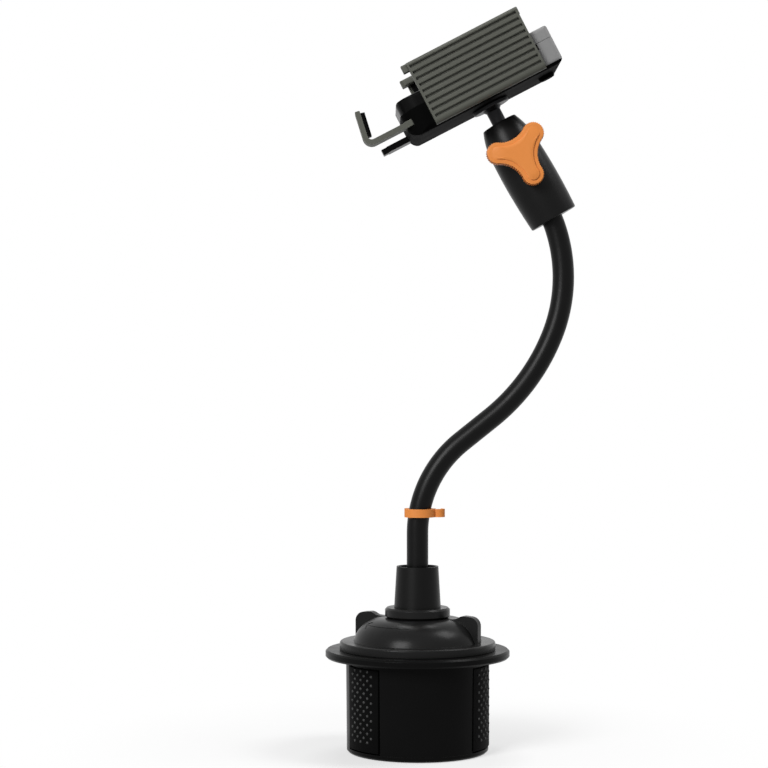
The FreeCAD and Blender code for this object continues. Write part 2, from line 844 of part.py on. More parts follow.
# Cable clip: a ring that snaps on the neck, with a smaller open ring for a cable beside it
def make_cable_clip():
    point, _ = neck_at(s.clip_height - s.column_bottom)
    low, high = -s.clip_thickness / 2, s.clip_thickness / 2
    through = s.clip_thickness + 2 * s.past
    ring = Part.makeCylinder(s.clip_radius, s.clip_thickness, V(0, 0, low))
    hook = Part.makeCylinder(s.hook_radius, s.clip_thickness, V(s.hook_offset, 0, low))
    body = ring.fuse(hook)
    body = body.cut(Part.makeCylinder(s.clip_bore, through, V(0, 0, low - s.past)))
    body = body.cut(Part.makeCylinder(s.hook_bore, through, V(s.hook_offset, 0, low - s.past)))
    mouth = Part.makeBox(s.clip_radius + s.past, s.clip_opening, through,
                         V(-s.clip_radius - s.past, -s.clip_opening / 2, low - s.past))
    gap = Part.makeBox(s.hook_bore * 1.2, s.hook_radius + s.past, through,
                       V(s.hook_offset - s.hook_bore * 0.6, 0, low - s.past))
    body = body.cut(mouth).cut(gap).removeSplitter()
    body.translate(point)
    keep(shaped("cable_clip", body))


# Barrel: it grips the neck's end below and the ball's seat above, and is split so that it clamps
def make_barrel():
    low, high = -s.barrel_below, s.barrel_above
    cavity = s.seat_radius + s.running_gap
    outer = turned_solid([
        (0, low),
        (s.barrel_bottom_radius, low, s.barrel_bottom_round),
        ((s.barrel_bulge_radius, -s.barrel_bulge_at), (s.barrel_shoulder_radius, -s.barrel_shoulder_at)),
        ((s.barrel_crown_radius, -s.barrel_crown_at),
         (s.barrel_rim_radius + s.small_round, high - s.barrel_rim_height)),
        (s.barrel_rim_radius, high, s.barrel_bottom_round),
        (0, high),
    ])
    opening = math.sqrt(cavity ** 2 - s.mouth_low ** 2)
    above = high + s.past
    mouth = turned_solid([
        (0, 0), (opening, 0), (opening, s.mouth_low), (s.mouth_radius, above), (0, above),
    ])
    body = outer.cut(Part.makeSphere(cavity)).cut(mouth)
    # The lower bore follows the neck's line, and the ferrule's bore above it is straight
    reach = s.barrel_below - s.ball_above_neck_end
    bore = neck_rod(neck_length - reach - s.past, sheath_end + s.face_gap, s.neck_radius + s.face_gap)
    bore.Placement = barrel_frame.inverse().multiply(bore.Placement)
    body = body.cut(bore)
    top = -s.ball_above_neck_end
    body = body.cut(Part.makeCylinder(s.ferrule_radius + s.seat_gap, s.ferrule_length + 2 * s.face_gap,
                                      V(0, 0, top - s.ferrule_length - s.face_gap)))
    body = body.cut(cylinder_along_y(s.clamp_screw_radius + s.slide_gap, -FAR, FAR, -s.clamp_axis))
    for side in (-1, 1):
        start, end = sorted((side * s.spot_face, side * FAR))
        body = body.cut(cylinder_along_y(s.knob_hub_radius + s.spot_margin, start, end, -s.clamp_axis))
    pocket = slab(hexagon(s.nut_flats + 2 * s.seat_gap), 0, FAR)
    pocket.rotate(V(0, 0, 0), V(1, 0, 0), -90)
    pocket.translate(V(0, s.spot_face - s.nut_thickness - s.face_gap, -s.clamp_axis))
    body = body.cut(pocket)
    slit = side_slab([(-FAR, -s.barrel_slit_depth), (FAR, -s.barrel_slit_depth), (FAR, FAR), (-FAR, FAR)],
                     -s.barrel_slit / 2, s.barrel_slit / 2)
    body = body.cut(slit)
    keep(shaped("barrel", body, barrel_frame))
    ferrule = Part.makeCylinder(s.ferrule_radius, s.ferrule_length, V(0, 0, top - s.ferrule_length))
    ferrule = ferrule.cut(Part.makeCylinder(s.core_radius + s.seat_gap, s.ferrule_length + 2 * s.past,
                                            V(0, 0, top - s.ferrule_length - s.past)))
    keep(shaped("neck_ferrule", ferrule, barrel_frame))
    nut = slab(hexagon(s.nut_flats), 0, s.nut_thickness)
    nut = nut.cut(Part.makeCylinder(s.clamp_screw_radius + s.seat_gap, s.nut_thickness + 2 * s.past,
                                    V(0, 0, -s.past)))
    nut.rotate(V(0, 0, 0), V(1, 0, 0), -90)
    nut.translate(V(0, s.spot_face - s.nut_thickness, -s.clamp_axis))
    keep(shaped("clamp_nut", nut, barrel_frame))


# Clamp knob: three lobes with hollow flanks between them, on a screw through the barrel
def lobe_outline(inset):
    """Lobe arcs and concave arcs that meet them tangentially, all moved inwards by the inset."""
    orbit, lobe, waist = s.knob_lobe_orbit, s.knob_lobe_radius, s.knob_waist
    reach = (orbit ** 2 - (waist - lobe) ** 2) / (orbit - 2 * (waist - lobe))
    flank = reach - waist + inset
    lobe = lobe - inset
    points = []
    for i in range(3):
        angle = -90 + 120 * i
        centre = V(orbit * cosine(angle), orbit * sine(angle), 0)
        contacts = []
        for side in (-60, 60):
            far = V(reach * cosine(angle + side), reach * sine(angle + side), 0)
            contacts.append(centre + (far - centre).normalize() * lobe)
        tip = centre + V(cosine(angle), sine(angle), 0) * lobe
        far_angle = angle - 60
        dip = V(cosine(far_angle), sine(far_angle), 0) * (reach - flank)
        points.append(((dip.x, dip.y), (contacts[0].x, contacts[0].y)))
        points.append(((tip.x, tip.y), (contacts[1].x, contacts[1].y)))
    return points


def make_knob():
    hub_start = s.spot_face + s.face_gap
    plate_start = hub_start + s.knob_hub
    plate_end = plate_start + s.knob_thickness
    plate = slab(lobe_outline(0.0), plate_start, plate_end)
    rims = [edge for edge in plate.Edges if abs(edge.BoundBox.ZMax - edge.BoundBox.ZMin) < 1e-6]
    plate = plate.makeFillet(s.knob_round, rims)
    plateau = slab(lobe_outline(s.knob_step), plate_end - s.past, plate_end + s.knob_plateau)
    hub = Part.makeCylinder(s.knob_hub_radius, s.knob_hub + s.past, V(0, 0, hub_start))
    body = plate.fuse(plateau).fuse(hub)
    screw_end = plate_end - s.knob_cover
    body = body.cut(Part.makeCylinder(s.clamp_screw_radius + s.seat_gap, screw_end))
    body = body.removeSplitter()
    body.rotate(V(0, 0, 0), V(1, 0, 0), 90)
    body.translate(V(0, 0, -s.clamp_axis))
    keep(shaped("clamp_knob", body, barrel_frame))
    bolt = cylinder_along_y(s.clamp_screw_radius, s.face_gap - screw_end, s.spot_face, -s.clamp_axis)
    keep(shaped("clamp_screw", bolt, barrel_frame))


# Ball joint: a seat that rocks in the barrel, and a ball stud that carries the cradle
def make_ball_joint():
    seat = Part.makeSphere(s.seat_radius).cut(Part.makeSphere(s.ball_radius + s.running_gap))
    seat = seat.common(level_box(-s.seat_low, s.seat_high))
    keep(shaped("ball_seat", seat, cradle_frame))
    ball, stem = s.ball_radius, s.stem_radius
    shoulder = math.sqrt(ball ** 2 - stem ** 2)
    top = s.cradle_back - s.face_gap
    spigot_top = s.cradle_back + s.cradle_wall + s.face_gap
    stud = turned_solid([
        (0, -ball),
        ((ball * cosine(-10), ball * sine(-10)), (stem, shoulder)),
        (stem, s.stud_flange_low - s.stem_flare),
        (stem + s.stem_flare, s.stud_flange_low),
        (s.stud_flange_radius, s.stud_flange_low, s.small_round),
        (s.stud_flange_radius, top, s.small_round),
        (s.spigot_radius, top),
        (s.spigot_radius, spigot_top),
        (0, spigot_top),
    ])
    depth = s.stud_screw_depth
    stud = stud.cut(Part.makeCylinder(s.screw_radius + s.seat_gap, depth + s.past,
                                      V(0, 0, spigot_top - depth)))
    keep(shaped("ball_stud", stud, cradle_frame))
    washer_top = spigot_top + s.washer_thickness
    washer = Part.makeCylinder(s.washer_radius, s.washer_thickness, V(0, 0, spigot_top))
    washer = washer.cut(Part.makeCylinder(s.screw_radius + s.seat_gap, s.washer_thickness + 2 * s.past,
                                          V(0, 0, spigot_top - s.past)))
    keep(shaped("stud_washer", washer, cradle_frame))
    bolt = screw(s.screw_radius, s.screw_head_radius, s.screw_head, depth + s.washer_thickness)
    bolt.rotate(V(0, 0, 0), V(1, 0, 0), 180)
    bolt.translate(V(0, 0, washer_top))
    keep(shaped("stud_screw", bolt, cradle_frame))


def cradle_block(inset, low_inset, high_inset):
    """The cradle's outer form moved inwards: a side profile crossed with a plan and an end outline."""
    def rounded(radius):
        return max(radius - inset, s.small_round)

    down, up, half = s.cradle_down - inset, s.cradle_up - inset, s.cradle_half_width - inset
    low, high = s.cradle_back + low_inset, cradle_front - high_inset
    front, side = rounded(s.cradle_front_round), rounded(s.cradle_side_round)
    lower, upper = rounded(s.cradle_corner_down), rounded(s.cradle_corner_up)
    profile = side_slab([(-down, low, rounded(s.cradle_back_round_down)),
                         (up, low, rounded(s.cradle_back_round_up)), (up, high, front), (-down, high, front)],
                        -half - s.past, half + s.past)
    plan = slab([(-down, -half, lower), (up, -half, upper), (up, half, upper), (-down, half, lower)],
                low - s.past, high + s.past)
    cross = end_slab([(-half, low, side), (half, low, side), (half, high, front), (-half, high, front)],
                     -down - s.past, up + s.past)
    return profile.common(plan).common(cross)


cradle_front = s.cradle_back + s.cradle_depth
shell_screws_at = [(s.shell_screw_x_up, s.shell_screw_y_up), (s.shell_screw_x_up, -s.shell_screw_y_up),
                   (-s.shell_screw_x_down, s.shell_screw_y_down), (-s.shell_screw_x_down, -s.shell_screw_y_down)]


def cap_zone(gap):
    """The space of the end cap: all that lies above its start and its low edge."""
    return Part.makeBox(FAR, 2 * FAR, FAR, V(s.cap_start - gap, -FAR, s.cap_low - gap))


def shell_form(step):
    """The shells' outer form: the cradle's own, moved in by a step, and set back under the end cap."""
    under = cradle_block(s.cap_wall + s.seat_gap, 0, s.cap_wall + s.seat_gap)
    zone = cap_zone(s.seat_gap)
    return cradle_block(step, 0, 0).cut(zone).fuse(under.common(zone))


# Cradle shells: a deep rear shell and a shallow front shell, screwed together from the front
def make_shells():
    wall, past = s.cradle_wall, s.past
    floor = s.cradle_back + wall
    cavity = cradle_block(wall, wall, wall)
    rear = shell_form(0).common(level_box(0, s.parting_line)).cut(cavity)
    face = shell_form(s.parting_step).common(level_box(s.parting_line, FAR)).cut(cavity)
    hole = s.screw_radius + s.seat_gap
    head_seat = cradle_front - s.cap_wall - s.screw_head - s.slide_gap
    tip = head_seat - s.shell_screw_length
    for x, y in shell_screws_at:
        rear = rear.fuse(Part.makeCylinder(s.shell_boss_radius, s.parting_line - floor + wall / 2,
                                           V(x, y, floor - wall / 2)))
        face = face.fuse(Part.makeCylinder(s.shell_boss_radius, cradle_front - wall + s.small_round
                                           - s.parting_line, V(x, y, s.parting_line)))
        rear = rear.cut(Part.makeCylinder(hole, s.parting_line - tip + past, V(x, y, tip)))
        face = face.cut(Part.makeCylinder(hole, cradle_front - s.parting_line + 2 * past,
                                          V(x, y, s.parting_line - past)))
        face = face.cut(Part.makeCylinder(s.screw_head_radius + s.slide_gap, FAR, V(x, y, head_seat)))
    through = s.cradle_wall + 2 * past
    rear = rear.cut(Part.makeCylinder(s.spigot_radius + s.running_gap, through, V(0, 0, s.cradle_back - past)))
    rear = rear.cut(Part.makeCylinder(s.button_radius + s.running_gap, through,
                                      V(s.button_x, 0, s.cradle_back - past)))
    gap = s.slide_gap
    for side, level, thick in ((-1, s.foot_level - s.foot_root_step, s.foot_thickness + 2 * s.foot_root_step),
                               (1, s.bar_level, s.bar_thickness)):
        slot = Part.makeBox(s.cradle_corner_down + past, s.foot_width + 2 * gap, thick + 2 * gap,
                            V(-s.cradle_down - past, side * s.foot_offset - s.foot_width / 2 - gap, level - gap))
        rear = rear.cut(slot)
    for side in (-1, 1):
        centre = side * (s.tongue_offset + s.tongue_width / 2)
        slot = Part.makeBox(s.tongue_width + 2 * gap, 2 * through, s.tongue_thickness + gap * 2,
                            V(centre - s.tongue_width / 2 - gap, side * s.cradle_half_width - through,
                              s.tongue_low - gap))
        face = face.cut(slot)
    keep(shaped("rear_shell", rear.removeSplitter(), cradle_frame))
    keep(shaped("front_shell", face.removeSplitter(), cradle_frame))
    screws = []
    for x, y in shell_screws_at:
        one = screw(s.screw_radius, s.screw_head_radius, s.screw_head, s.shell_screw_length)
        one.rotate(V(0, 0, 0), V(1, 0, 0), 180)
        one.translate(V(x, y, head_seat))
        screws.append(one)
    keep(shaped("shell_screws", Part.makeCompound(screws), cradle_frame))
    margin = s.front_pad_margin
    down, up, half = s.front_pad_down, s.cap_start - s.small_round, s.cradle_half_width - margin
    pad = slab([(-down, -half, margin), (up, -half, margin), (up, half, margin), (-down, half, margin)],
               cradle_front, cradle_front + s.front_pad)
    keep(shaped("front_pad", pad, cradle_frame))


# End cap: a thin cover over the cradle's upper end, with the parting groove carried on round it
def make_end_cap():
    cap = cradle_block(0, 0, 0).cut(cradle_block(s.cap_wall, -s.past, s.cap_wall)).common(cap_zone(0))
    ring = cradle_block(-s.past, 0, 0).cut(cradle_block(s.cap_groove / 2, -s.past, s.cap_groove / 2))
    cap = cap.cut(ring.common(level_box(s.parting_line - s.cap_groove / 2, s.parting_line + s.cap_groove / 2)))
    for side in (-1, 1):
        slot = Part.makeBox(s.cap_slot, 4 * s.cap_wall, s.cap_slot_height,
                            V(s.cap_slot_at, side * s.cradle_half_width - 2 * s.cap_wall,
                              s.parting_line - s.cap_slot_height))
        cap = cap.cut(slot)
    keep(shaped("end_cap", cap.removeSplitter(), cradle_frame))


# Clamp arms: a wall with flat ribs between grooves outside, a lip over the phone's face and a tongue
# that slides in the cradle
def make_arms():
    face, low, high = s.arm_face, s.arm_low, s.arm_high
    floor = face - s.rib_height
    inner = floor - s.arm_wall
    lip_low = high - s.lip_thickness
    curl, bend = s.arm_curl, s.arm_curl * (1 - cosine(45))
    wall = end_slab([
        (inner, low), (face - curl, low), ((face - bend, low + bend), (face, low + curl)),
        (face, high - s.arm_edge), (face - s.arm_edge, high), (inner - s.small_round, high),
        (inner - s.small_round, lip_low), (inner, lip_low),
    ], -s.arm_down, s.arm_up)
    outer, tip = floor - s.slide_gap, face - s.lip_reach
    start, end = -s.arm_down - s.lip_overhang_down, s.arm_up + s.lip_overhang_up
    lip = end_slab([(outer, lip_low), (outer, high, s.arm_edge), (tip, high, s.lip_round),
                    (tip, lip_low, s.arm_edge)], start, end)
    lip = lip.common(slab([(start, tip, s.lip_corner), (end, tip, s.lip_corner), (end, outer, s.arm_edge),
                           (start, outer, s.arm_edge)], lip_low - s.past, high + s.past))
    body = wall.fuse(lip)
    half = s.rib_groove / 2
    for i in range(int(s.rib_count)):
        level = s.rib_first + s.rib_pitch * i
        body = body.cut(end_slab([
            (floor, level - half), (face + s.past, level - half), (face + s.past, level + half + s.rib_chamfer),
            (face, level + half + s.rib_chamfer), (face - s.rib_chamfer, level + half), (floor, level + half),
        ], s.arm_rim - s.arm_down, s.arm_up - s.arm_rim))
    for side, name in ((-1, "near"), (1, "far")):
        arm = body if side > 0 else body.mirror(V(0, 0, 0), V(0, 1, 0))
        centre = side * (s.tongue_offset + s.tongue_width / 2)
        root, tip = side * (inner + s.arm_wall / 2), -side * s.tongue_reach
        tongue = Part.makeBox(s.tongue_width, abs(root - tip), s.tongue_thickness,
                              V(centre - s.tongue_width / 2, min(root, tip), s.tongue_low))
        keep(shaped("arm_" + name, arm.fuse(tongue).removeSplitter(), cradle_frame))
        pad_low = cradle_front + s.front_pad + s.slide_gap
        pad_high = lip_low - s.slide_gap
        pad_face = side * (inner - s.arm_pad)
        pad = Part.makeBox(s.arm_down + s.arm_up - 2 * s.arm_pad_inset, s.arm_pad, pad_high - pad_low,
                           V(s.arm_pad_inset - s.arm_down, min(pad_face, side * inner), pad_low))
        keep(shaped("arm_pad_" + name, pad, cradle_frame))


# Release button: it stands a little proud of the back, and its flange keeps it in the shell
def make_button():
    low = s.cradle_back - s.button_proud
    floor = s.cradle_back + s.cradle_wall + s.face_gap
    rim = s.button_radius + s.button_flange_reach
    button = turned_solid([(0, low), (s.button_radius, low, s.button_round), (s.button_radius, floor),
                           (rim, floor), (rim, floor + s.button_flange), (0, floor + s.button_flange)])
    button.translate(V(s.button_x, 0, 0))
    keep(shaped("release_button", button, cradle_frame))


# Foot: a flat bar that slides out of the cradle's lower end and hooks round the phone's edge
def make_foot():
    level, thick = s.foot_level, s.foot_thickness
    corner, lean = s.foot_corner, s.hook_lean
    along = V(sine(lean), 0, cosine(lean))
    inward = V(cosine(lean), 0, -sine(lean))
    outer_corner = V(-corner, 0, level)
    tip_outer = outer_corner + along * s.hook_length
    tip_inner = tip_outer + inward * thick
    bend = outer_corner + inward * thick
    slide = (level + thick - bend.z) / along.z
    inner_corner = bend + along * slide
    points = [(-s.foot_inner, level), (-s.foot_inner, level + thick),
              (inner_corner.x, inner_corner.z, s.foot_bend), (tip_inner.x, tip_inner.z, s.small_round),
              (tip_outer.x, tip_outer.z, s.small_round), (outer_corner.x, outer_corner.z, s.foot_bend + thick)]
    low, high = -s.foot_offset - s.foot_width / 2, -s.foot_offset + s.foot_width / 2
    step = s.foot_root_step
    root = side_slab([(-s.foot_root, level - step), (-s.foot_inner, level - step),
                      (-s.foot_inner, level + thick + step), (-s.foot_root, level + thick + step)], low, high)
    keep(shaped("foot", side_slab(points, low, high).fuse(root).removeSplitter(), cradle_frame))
    # Pad on the hook's inner side, with three ridges along the hook
    start = inner_corner + along * (s.foot_bend + s.small_round)
    end = tip_inner - along * s.foot_pad
    pad = [start, end, end + inward * s.foot_pad, start + inward * s.foot_pad]
    inset = s.foot_pad_inset
    base = side_slab([(p.x, p.z) for p in pad], low + inset, high - inset)
    offsets = (s.foot_pad / 2, s.foot_pad / 2, s.ridge_height, s.ridge_height)
    ridge = [p + inward * offset for p, offset in zip(pad, offsets)]
    third = (s.foot_width - 2 * inset) / 3
    for i in range(3):
        middle = low + inset + third * (i + 0.5)
        base = base.fuse(side_slab([(p.x, p.z) for p in ridge], middle - third * 0.32, middle + third * 0.32))
    keep(shaped("foot_pad", base.removeSplitter(), cradle_frame))


def make_support_bar():
    low, high = s.foot_offset - s.foot_width / 2, s.foot_offset + s.foot_width / 2
    inset = s.bar_tip_inset
    end = -s.bar_shaft_end
    tip, corner = end - s.bar_tip, s.small_round
    bar = slab([(-s.foot_inner, low, corner), (-s.foot_inner, high, corner), (end, high, corner),
                (end, high - inset), (tip, high - inset, corner), (tip, low + inset, corner),
                (end, low + inset), (end, low, corner)], s.bar_level, s.bar_level + s.bar_thickness)
    keep(shaped("support_bar", bar, cradle_frame))


make_base_body()
make_base_floor()
make_base_screws()
make_column()
make_anchor_nut()
make_jaws()
make_dial()
make_neck()
make_cable_clip()
make_barrel()
make_knob()
make_ball_joint()
make_shells()
make_end_cap()
make_arms()
make_button()
make_foot()
make_support_bar()
doc.recompute()

for thing in doc.Objects:
    for state in ("Invalid", "Error"):
        if state in thing.State:
            raise RuntimeError("%s is %s" % (thing.Label, thing.State))
for label, thing in nodes.items():
    if thing.Shape.isNull() or not thing.Shape.isValid() or not thing.Shape.Solids:
        raise RuntimeError("%s has no valid solid" % label)

sheath_section = math.pi * (s.neck_radius ** 2 - (s.neck_radius - s.sheath_wall) ** 2)
sheath_length = sheath_end - sheath_first
print("sheath volume", nodes["neck_sheath"].Shape.Volume, "section times length",
      sheath_section * sheath_length)
print("ball centre", ball_centre, "barrel lean", barrel_lean, "neck length", neck_length)
for index, hinge in enumerate(hinges):
    point, heading = neck_at(hinge)
    print("hinge %d at x %.3f z %.3f heading %.3f %s" % (
        index + 1, point.x, point.z, heading, "side" if hinge in side_hinges else "bend"))

os.makedirs("parts", exist_ok=True)
for label, thing in nodes.items():
    thing.Shape.exportStep("parts/%s.step" % label)
print(len(nodes), "pieces")
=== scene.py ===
import json
import math

import bmesh
import bpy
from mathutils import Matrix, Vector


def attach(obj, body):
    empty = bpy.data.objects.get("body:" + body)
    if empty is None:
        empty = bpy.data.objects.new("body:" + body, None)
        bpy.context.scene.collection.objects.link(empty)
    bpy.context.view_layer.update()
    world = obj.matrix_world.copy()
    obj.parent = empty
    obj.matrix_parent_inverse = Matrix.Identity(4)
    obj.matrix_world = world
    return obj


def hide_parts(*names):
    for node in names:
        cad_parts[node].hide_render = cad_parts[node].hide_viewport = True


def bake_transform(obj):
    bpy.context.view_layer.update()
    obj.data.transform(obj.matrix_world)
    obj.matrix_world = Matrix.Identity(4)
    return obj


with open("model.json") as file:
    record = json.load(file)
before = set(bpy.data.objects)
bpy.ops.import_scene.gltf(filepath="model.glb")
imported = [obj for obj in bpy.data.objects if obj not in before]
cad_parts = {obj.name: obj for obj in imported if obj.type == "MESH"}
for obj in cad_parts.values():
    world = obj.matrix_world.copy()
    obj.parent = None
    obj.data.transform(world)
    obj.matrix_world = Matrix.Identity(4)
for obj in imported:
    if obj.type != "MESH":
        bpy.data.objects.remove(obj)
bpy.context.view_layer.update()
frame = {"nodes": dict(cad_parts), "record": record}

MM = 0.001
NEAR_ZERO = 1e-9
WHITE = (1.0, 1.0, 1.0, 1.0)

# The neck's centre line in the plane Y = 0, as the CAD's sheath has it: bends as (radius, turn).
# From here down to the camera, lengths are in millimetres and angles in degrees.
NECK_BOTTOM = 12.0
NECK_STRAIGHT_TOP = 106.8
NECK_BENDS = [(58.0, 51.3), (99.2, -29.9), (77.3, -51.4)]
NECK_RUN_AFTER_FIRST = 18.5
NECK_END_RUN = 17.7
HINGE_FIRST = 92.0
HINGE_END_RUN = 44.0
SIDE_HINGES_AFTER = (1, 4, 6)
BEND_HINGES = 9

# The sheath around it, and the ball ends and hollow ends of its stiff pieces
SHEATH_RADIUS = 5.3
SHEATH_WALL = 1.1
SHEATH_LOW = 18.0
SHEATH_END_GAP = 12.1
SHEATH_SIDES = 48
SHEATH_RING_STEP = 1.2
SHEATH_CREASE = 60
BALL_GAP = 0.005
BALL_REACH = 26.0
BALL_LIP = 0.25
BALL_SHARES = (0.2, 0.4, 0.6, 0.8, 1.0)
HOLLOW_MARGIN = 0.2

# The barrel's frame starts at the ball's centre and leans about Y
BALL = Vector((43.884, 0.0, 302.194))
BARREL_LEAN = 30.0

# Clamp knob, in the barrel's frame, from its hub's back to its front
KNOB_AXIS = -11.9
KNOB_BACK = 11.3
KNOB_PLATE = 13.6
KNOB_FRONT = 20.6
KNOB_HUB_RADIUS = 5.0
KNOB_HUB_EDGE = 0.3
KNOB_BORE_RADIUS = 2.05
KNOB_BORE_STOP = 2.0
KNOB_WAIST = 8.1
KNOB_CREASE = 35
KNOB_PLATE_INSET = 1.2
KNOB_FACE_INSET = 1.0
# The rim's rounded edge: (inset, depth from the face, share of the knurl's depth)
KNOB_EDGE = ((0.45, 0.12, 0.0), (0.12, 0.45, 0.6), (0.0, 0.95, 1.0))
KNURL_PITCH = 1.10
KNURL_DEPTH = 0.85
KNURL_POINTS = 4
LOBES = 3
LOBE_TURN = 360 / LOBES
LOBE_ORBIT = 11.5
LOBE_RADIUS = 5.4
LOWEST_LOBE = -90

# The raised triangle on the knob's face, and where it fades out along two lobes
PLATEAU_HEIGHT = 0.8
PLATEAU_INSET = 2.4
PLATEAU_SLOPE = 0.35
PLATEAU_STEP_SHARE = 0.75
PLATEAU_SHARES = (0.75, 0.5, 0.25)
PLATEAU_STEP_HALF = 40
PLATEAU_END = 14.6
PLATEAU_FADE = 4.0

# Dial: three points (radius, height) of the dome's arc, and the arrow on it.
# The profile across the arrow's bead is (share of the width, share of the height).
DOME_ARC = ((31.5, 54.0), (26.7, 61.9), (17.5, 65.4))
ARROW_RADIUS = 25.6
ARROW_START = -100.0
ARROW_TIP = -165.0
ARROW_STEPS = 40
ARROW_WIDTH = 0.55
ARROW_HEIGHT = 0.22
ARROW_PROFILE = ((-0.5, -0.12), (-0.36, 0.75), (0.0, 1.0), (0.36, 0.75), (0.5, -0.12))
BARB_TURN = 6.0
BARB_REACH = 2.4
BARB_STEPS = 6
BEAD_CREASE = 50

# Grip dots on the jaws' pads
JAW_AZIMUTHS = (-142.0, -22.0, 98.0)
PAD_RADIUS = 35.25
DOT_COLUMNS = 7
DOT_LEVELS = 17
DOT_COLUMN_TURN = 3.95
DOT_LEVEL_STEP = 2.125
DOT_BOTTOM = 8.0
DOT_RADIUS = 0.72
DOT_HEIGHT = 0.45
DOT_SUNK = 0.06
DOT_RINGS = 4
DOT_SIDES = 12

# Camera and room, in metres. The lens and the sensor are in millimetres.
CAMERA_AT = (-0.0165, -1.010, 0.1804)
CAMERA_LENS = 96.1
CAMERA_NEAR = 0.01
SENSOR = 36.0
LAMPS_AIM = (0.02, 0.0, 0.20)
FLOOR_LEVEL = -0.0003
FLOOR_RADIUS = 3.0
FLOOR_SIDES = 96
# The floor's paleness for the light it throws back, and as the camera sees it
FLOOR_BOUNCE = 0.30
FLOOR_PALE = 0.86
# Distances over which the floor fades to white, and how far the fade has gone at its start
FADE_LEAST = 0.55
FADE_START = 0.045
FADE_END = 0.20
# The surround's light on things, from below and from above, and the heights between which it rises
SKY_BELOW = 0.02
SKY_ABOVE = 0.22
SKY_LOW = -0.25
SKY_HIGH = 0.6

# Materials: scales of the noise, per metre
FLOW_MARKS = 22.0
SPECKS = 2600.0
EDGE_PATCH_MARKS = 120.0
SHEEN_MARKS = 60.0
SPARK_GRAIN = 1500.0
SINK_MARKS = 140.0
RUB_MARKS = 70.0
SKIN_GRAIN = 1800.0
TOOL_MARKS = 900.0
STAINS = 45.0

# Materials: relief depths and reaches in metres, strengths, and how far the roughness varies
GRAIN_DEPTH = 0.00002
SINK_DEPTH = 0.0001
SINK_STRENGTH = 0.05
SKIN_DEPTH = 0.00001
SKIN_STRENGTH = 0.12
TOOL_DEPTH = 0.00001
TOOL_STRENGTH = 0.15
LIGHTER_EDGE_WIDTH = 0.0004
PAINTED_SHADE_REACH = 0.0014
SPECK_SHARE = 0.35
SHEEN_SPREAD = 0.04
METAL_SMOOTHER = 0.08
METAL_ROUGHER = 0.10
STAINED_SHARE = 0.82
# An edge is lightened fully, partly as wear and partly as a painted highlight, where its rounded
# normal turns to this cosine, and not at all at the next
EDGE_COSINE = 0.80
FLAT_COSINE = 0.995


def sine(angle):
    return math.sin(math.radians(angle))


def cosine(angle):
    return math.cos(math.radians(angle))


# Materials
def feed(tree, socket, source):
    """Link another node's output to a socket, or set the socket to a constant."""
    if isinstance(source, bpy.types.NodeSocket):
        tree.links.new(source, socket)
    else:
        socket.default_value = source


def add_node(tree, kind, inputs=None, **settings):
    made = tree.nodes.new(kind)
    for name, setting in settings.items():
        setattr(made, name, setting)
    for name, source in (inputs or {}).items():
        feed(tree, made.inputs[name], source)
    return made


class Shader:
    """One material's node tree, with short calls to add and link nodes."""

    def __init__(self, name):
        self.material = bpy.data.materials.new(name)
        self.material.use_nodes = True
        self.tree = self.material.node_tree
        self.surface = self.tree.nodes["Principled BSDF"]
        self.coordinates = self.node("ShaderNodeTexCoord")
        self.place = self.coordinates.outputs["Object"]

    def node(self, kind, inputs=None, **settings):
        return add_node(self.tree, kind, inputs, **settings)

    def noise(self, scale, detail=2.0, roughness=0.5, vector=None):
        inputs = {"Vector": vector or self.place, "Scale": scale, "Detail": detail,
                  "Roughness": roughness}
        return self.node("ShaderNodeTexNoise", inputs).outputs["Fac"]

    def spread(self, source, low, high, start=0.3, end=0.7):
        """A value that runs from low to high as the source runs from start to end."""
        inputs = {"Value": source, "From Min": start, "From Max": end,
                  "To Min": low, "To Max": high}
        return self.node("ShaderNodeMapRange", inputs).outputs["Result"]

    def ramp(self, source, first, second):
        """A colour that runs between two stops, each (position, colour)."""
        made = self.node("ShaderNodeValToRGB", {"Fac": source})
        for stop, (position, colour) in zip(made.color_ramp.elements, (first, second)):
            stop.position = position
            stop.color = (*colour, 1.0)
        return made.outputs["Color"]

    def blend(self, amount, first, second):
        """The first colour where the amount is 0, and the second where it is 1."""
        made = self.node("ShaderNodeMix", data_type="RGBA")
        for name, source in (("Factor_Float", amount), ("A_Color", first), ("B_Color", second)):
            feed(self.tree, next(i for i in made.inputs if i.identifier == name), source)
        return next(o for o in made.outputs if o.identifier == "Result_Color")

    def set(self, **values):
        for name, source in values.items():
            feed(self.tree, self.surface.inputs[name.replace("_", " ")], source)

    def bumps(self, layers, normal=None):
        """Stack height maps, each (height, strength, distance in metres), onto the surface."""
        for height, strength, distance in layers:
            inputs = {"Height": height, "Strength": strength, "Distance": distance}
            if normal is not None:
                inputs["Normal"] = normal
            normal = self.node("ShaderNodeBump", inputs).outputs["Normal"]
        self.tree.links.new(normal, self.surface.inputs["Normal"])

    def rounded(self, radius):
        """A normal that softens the solid's own edges."""
        return self.node("ShaderNodeBevel", {"Radius": radius}, samples=4).outputs["Normal"]

    def edges(self, radius):
        """Near 1 along edges and 0 on open faces."""
        soft = self.rounded(radius)
        sharp = self.node("ShaderNodeNewGeometry").outputs["Normal"]
        turned = self.node("ShaderNodeVectorMath", {0: soft, 1: sharp}, operation="DOT_PRODUCT")
        return self.spread(turned.outputs["Value"], 1.0, 0.0, EDGE_COSINE, FLAT_COSINE)


def grey(level):
    return (level, level, level)


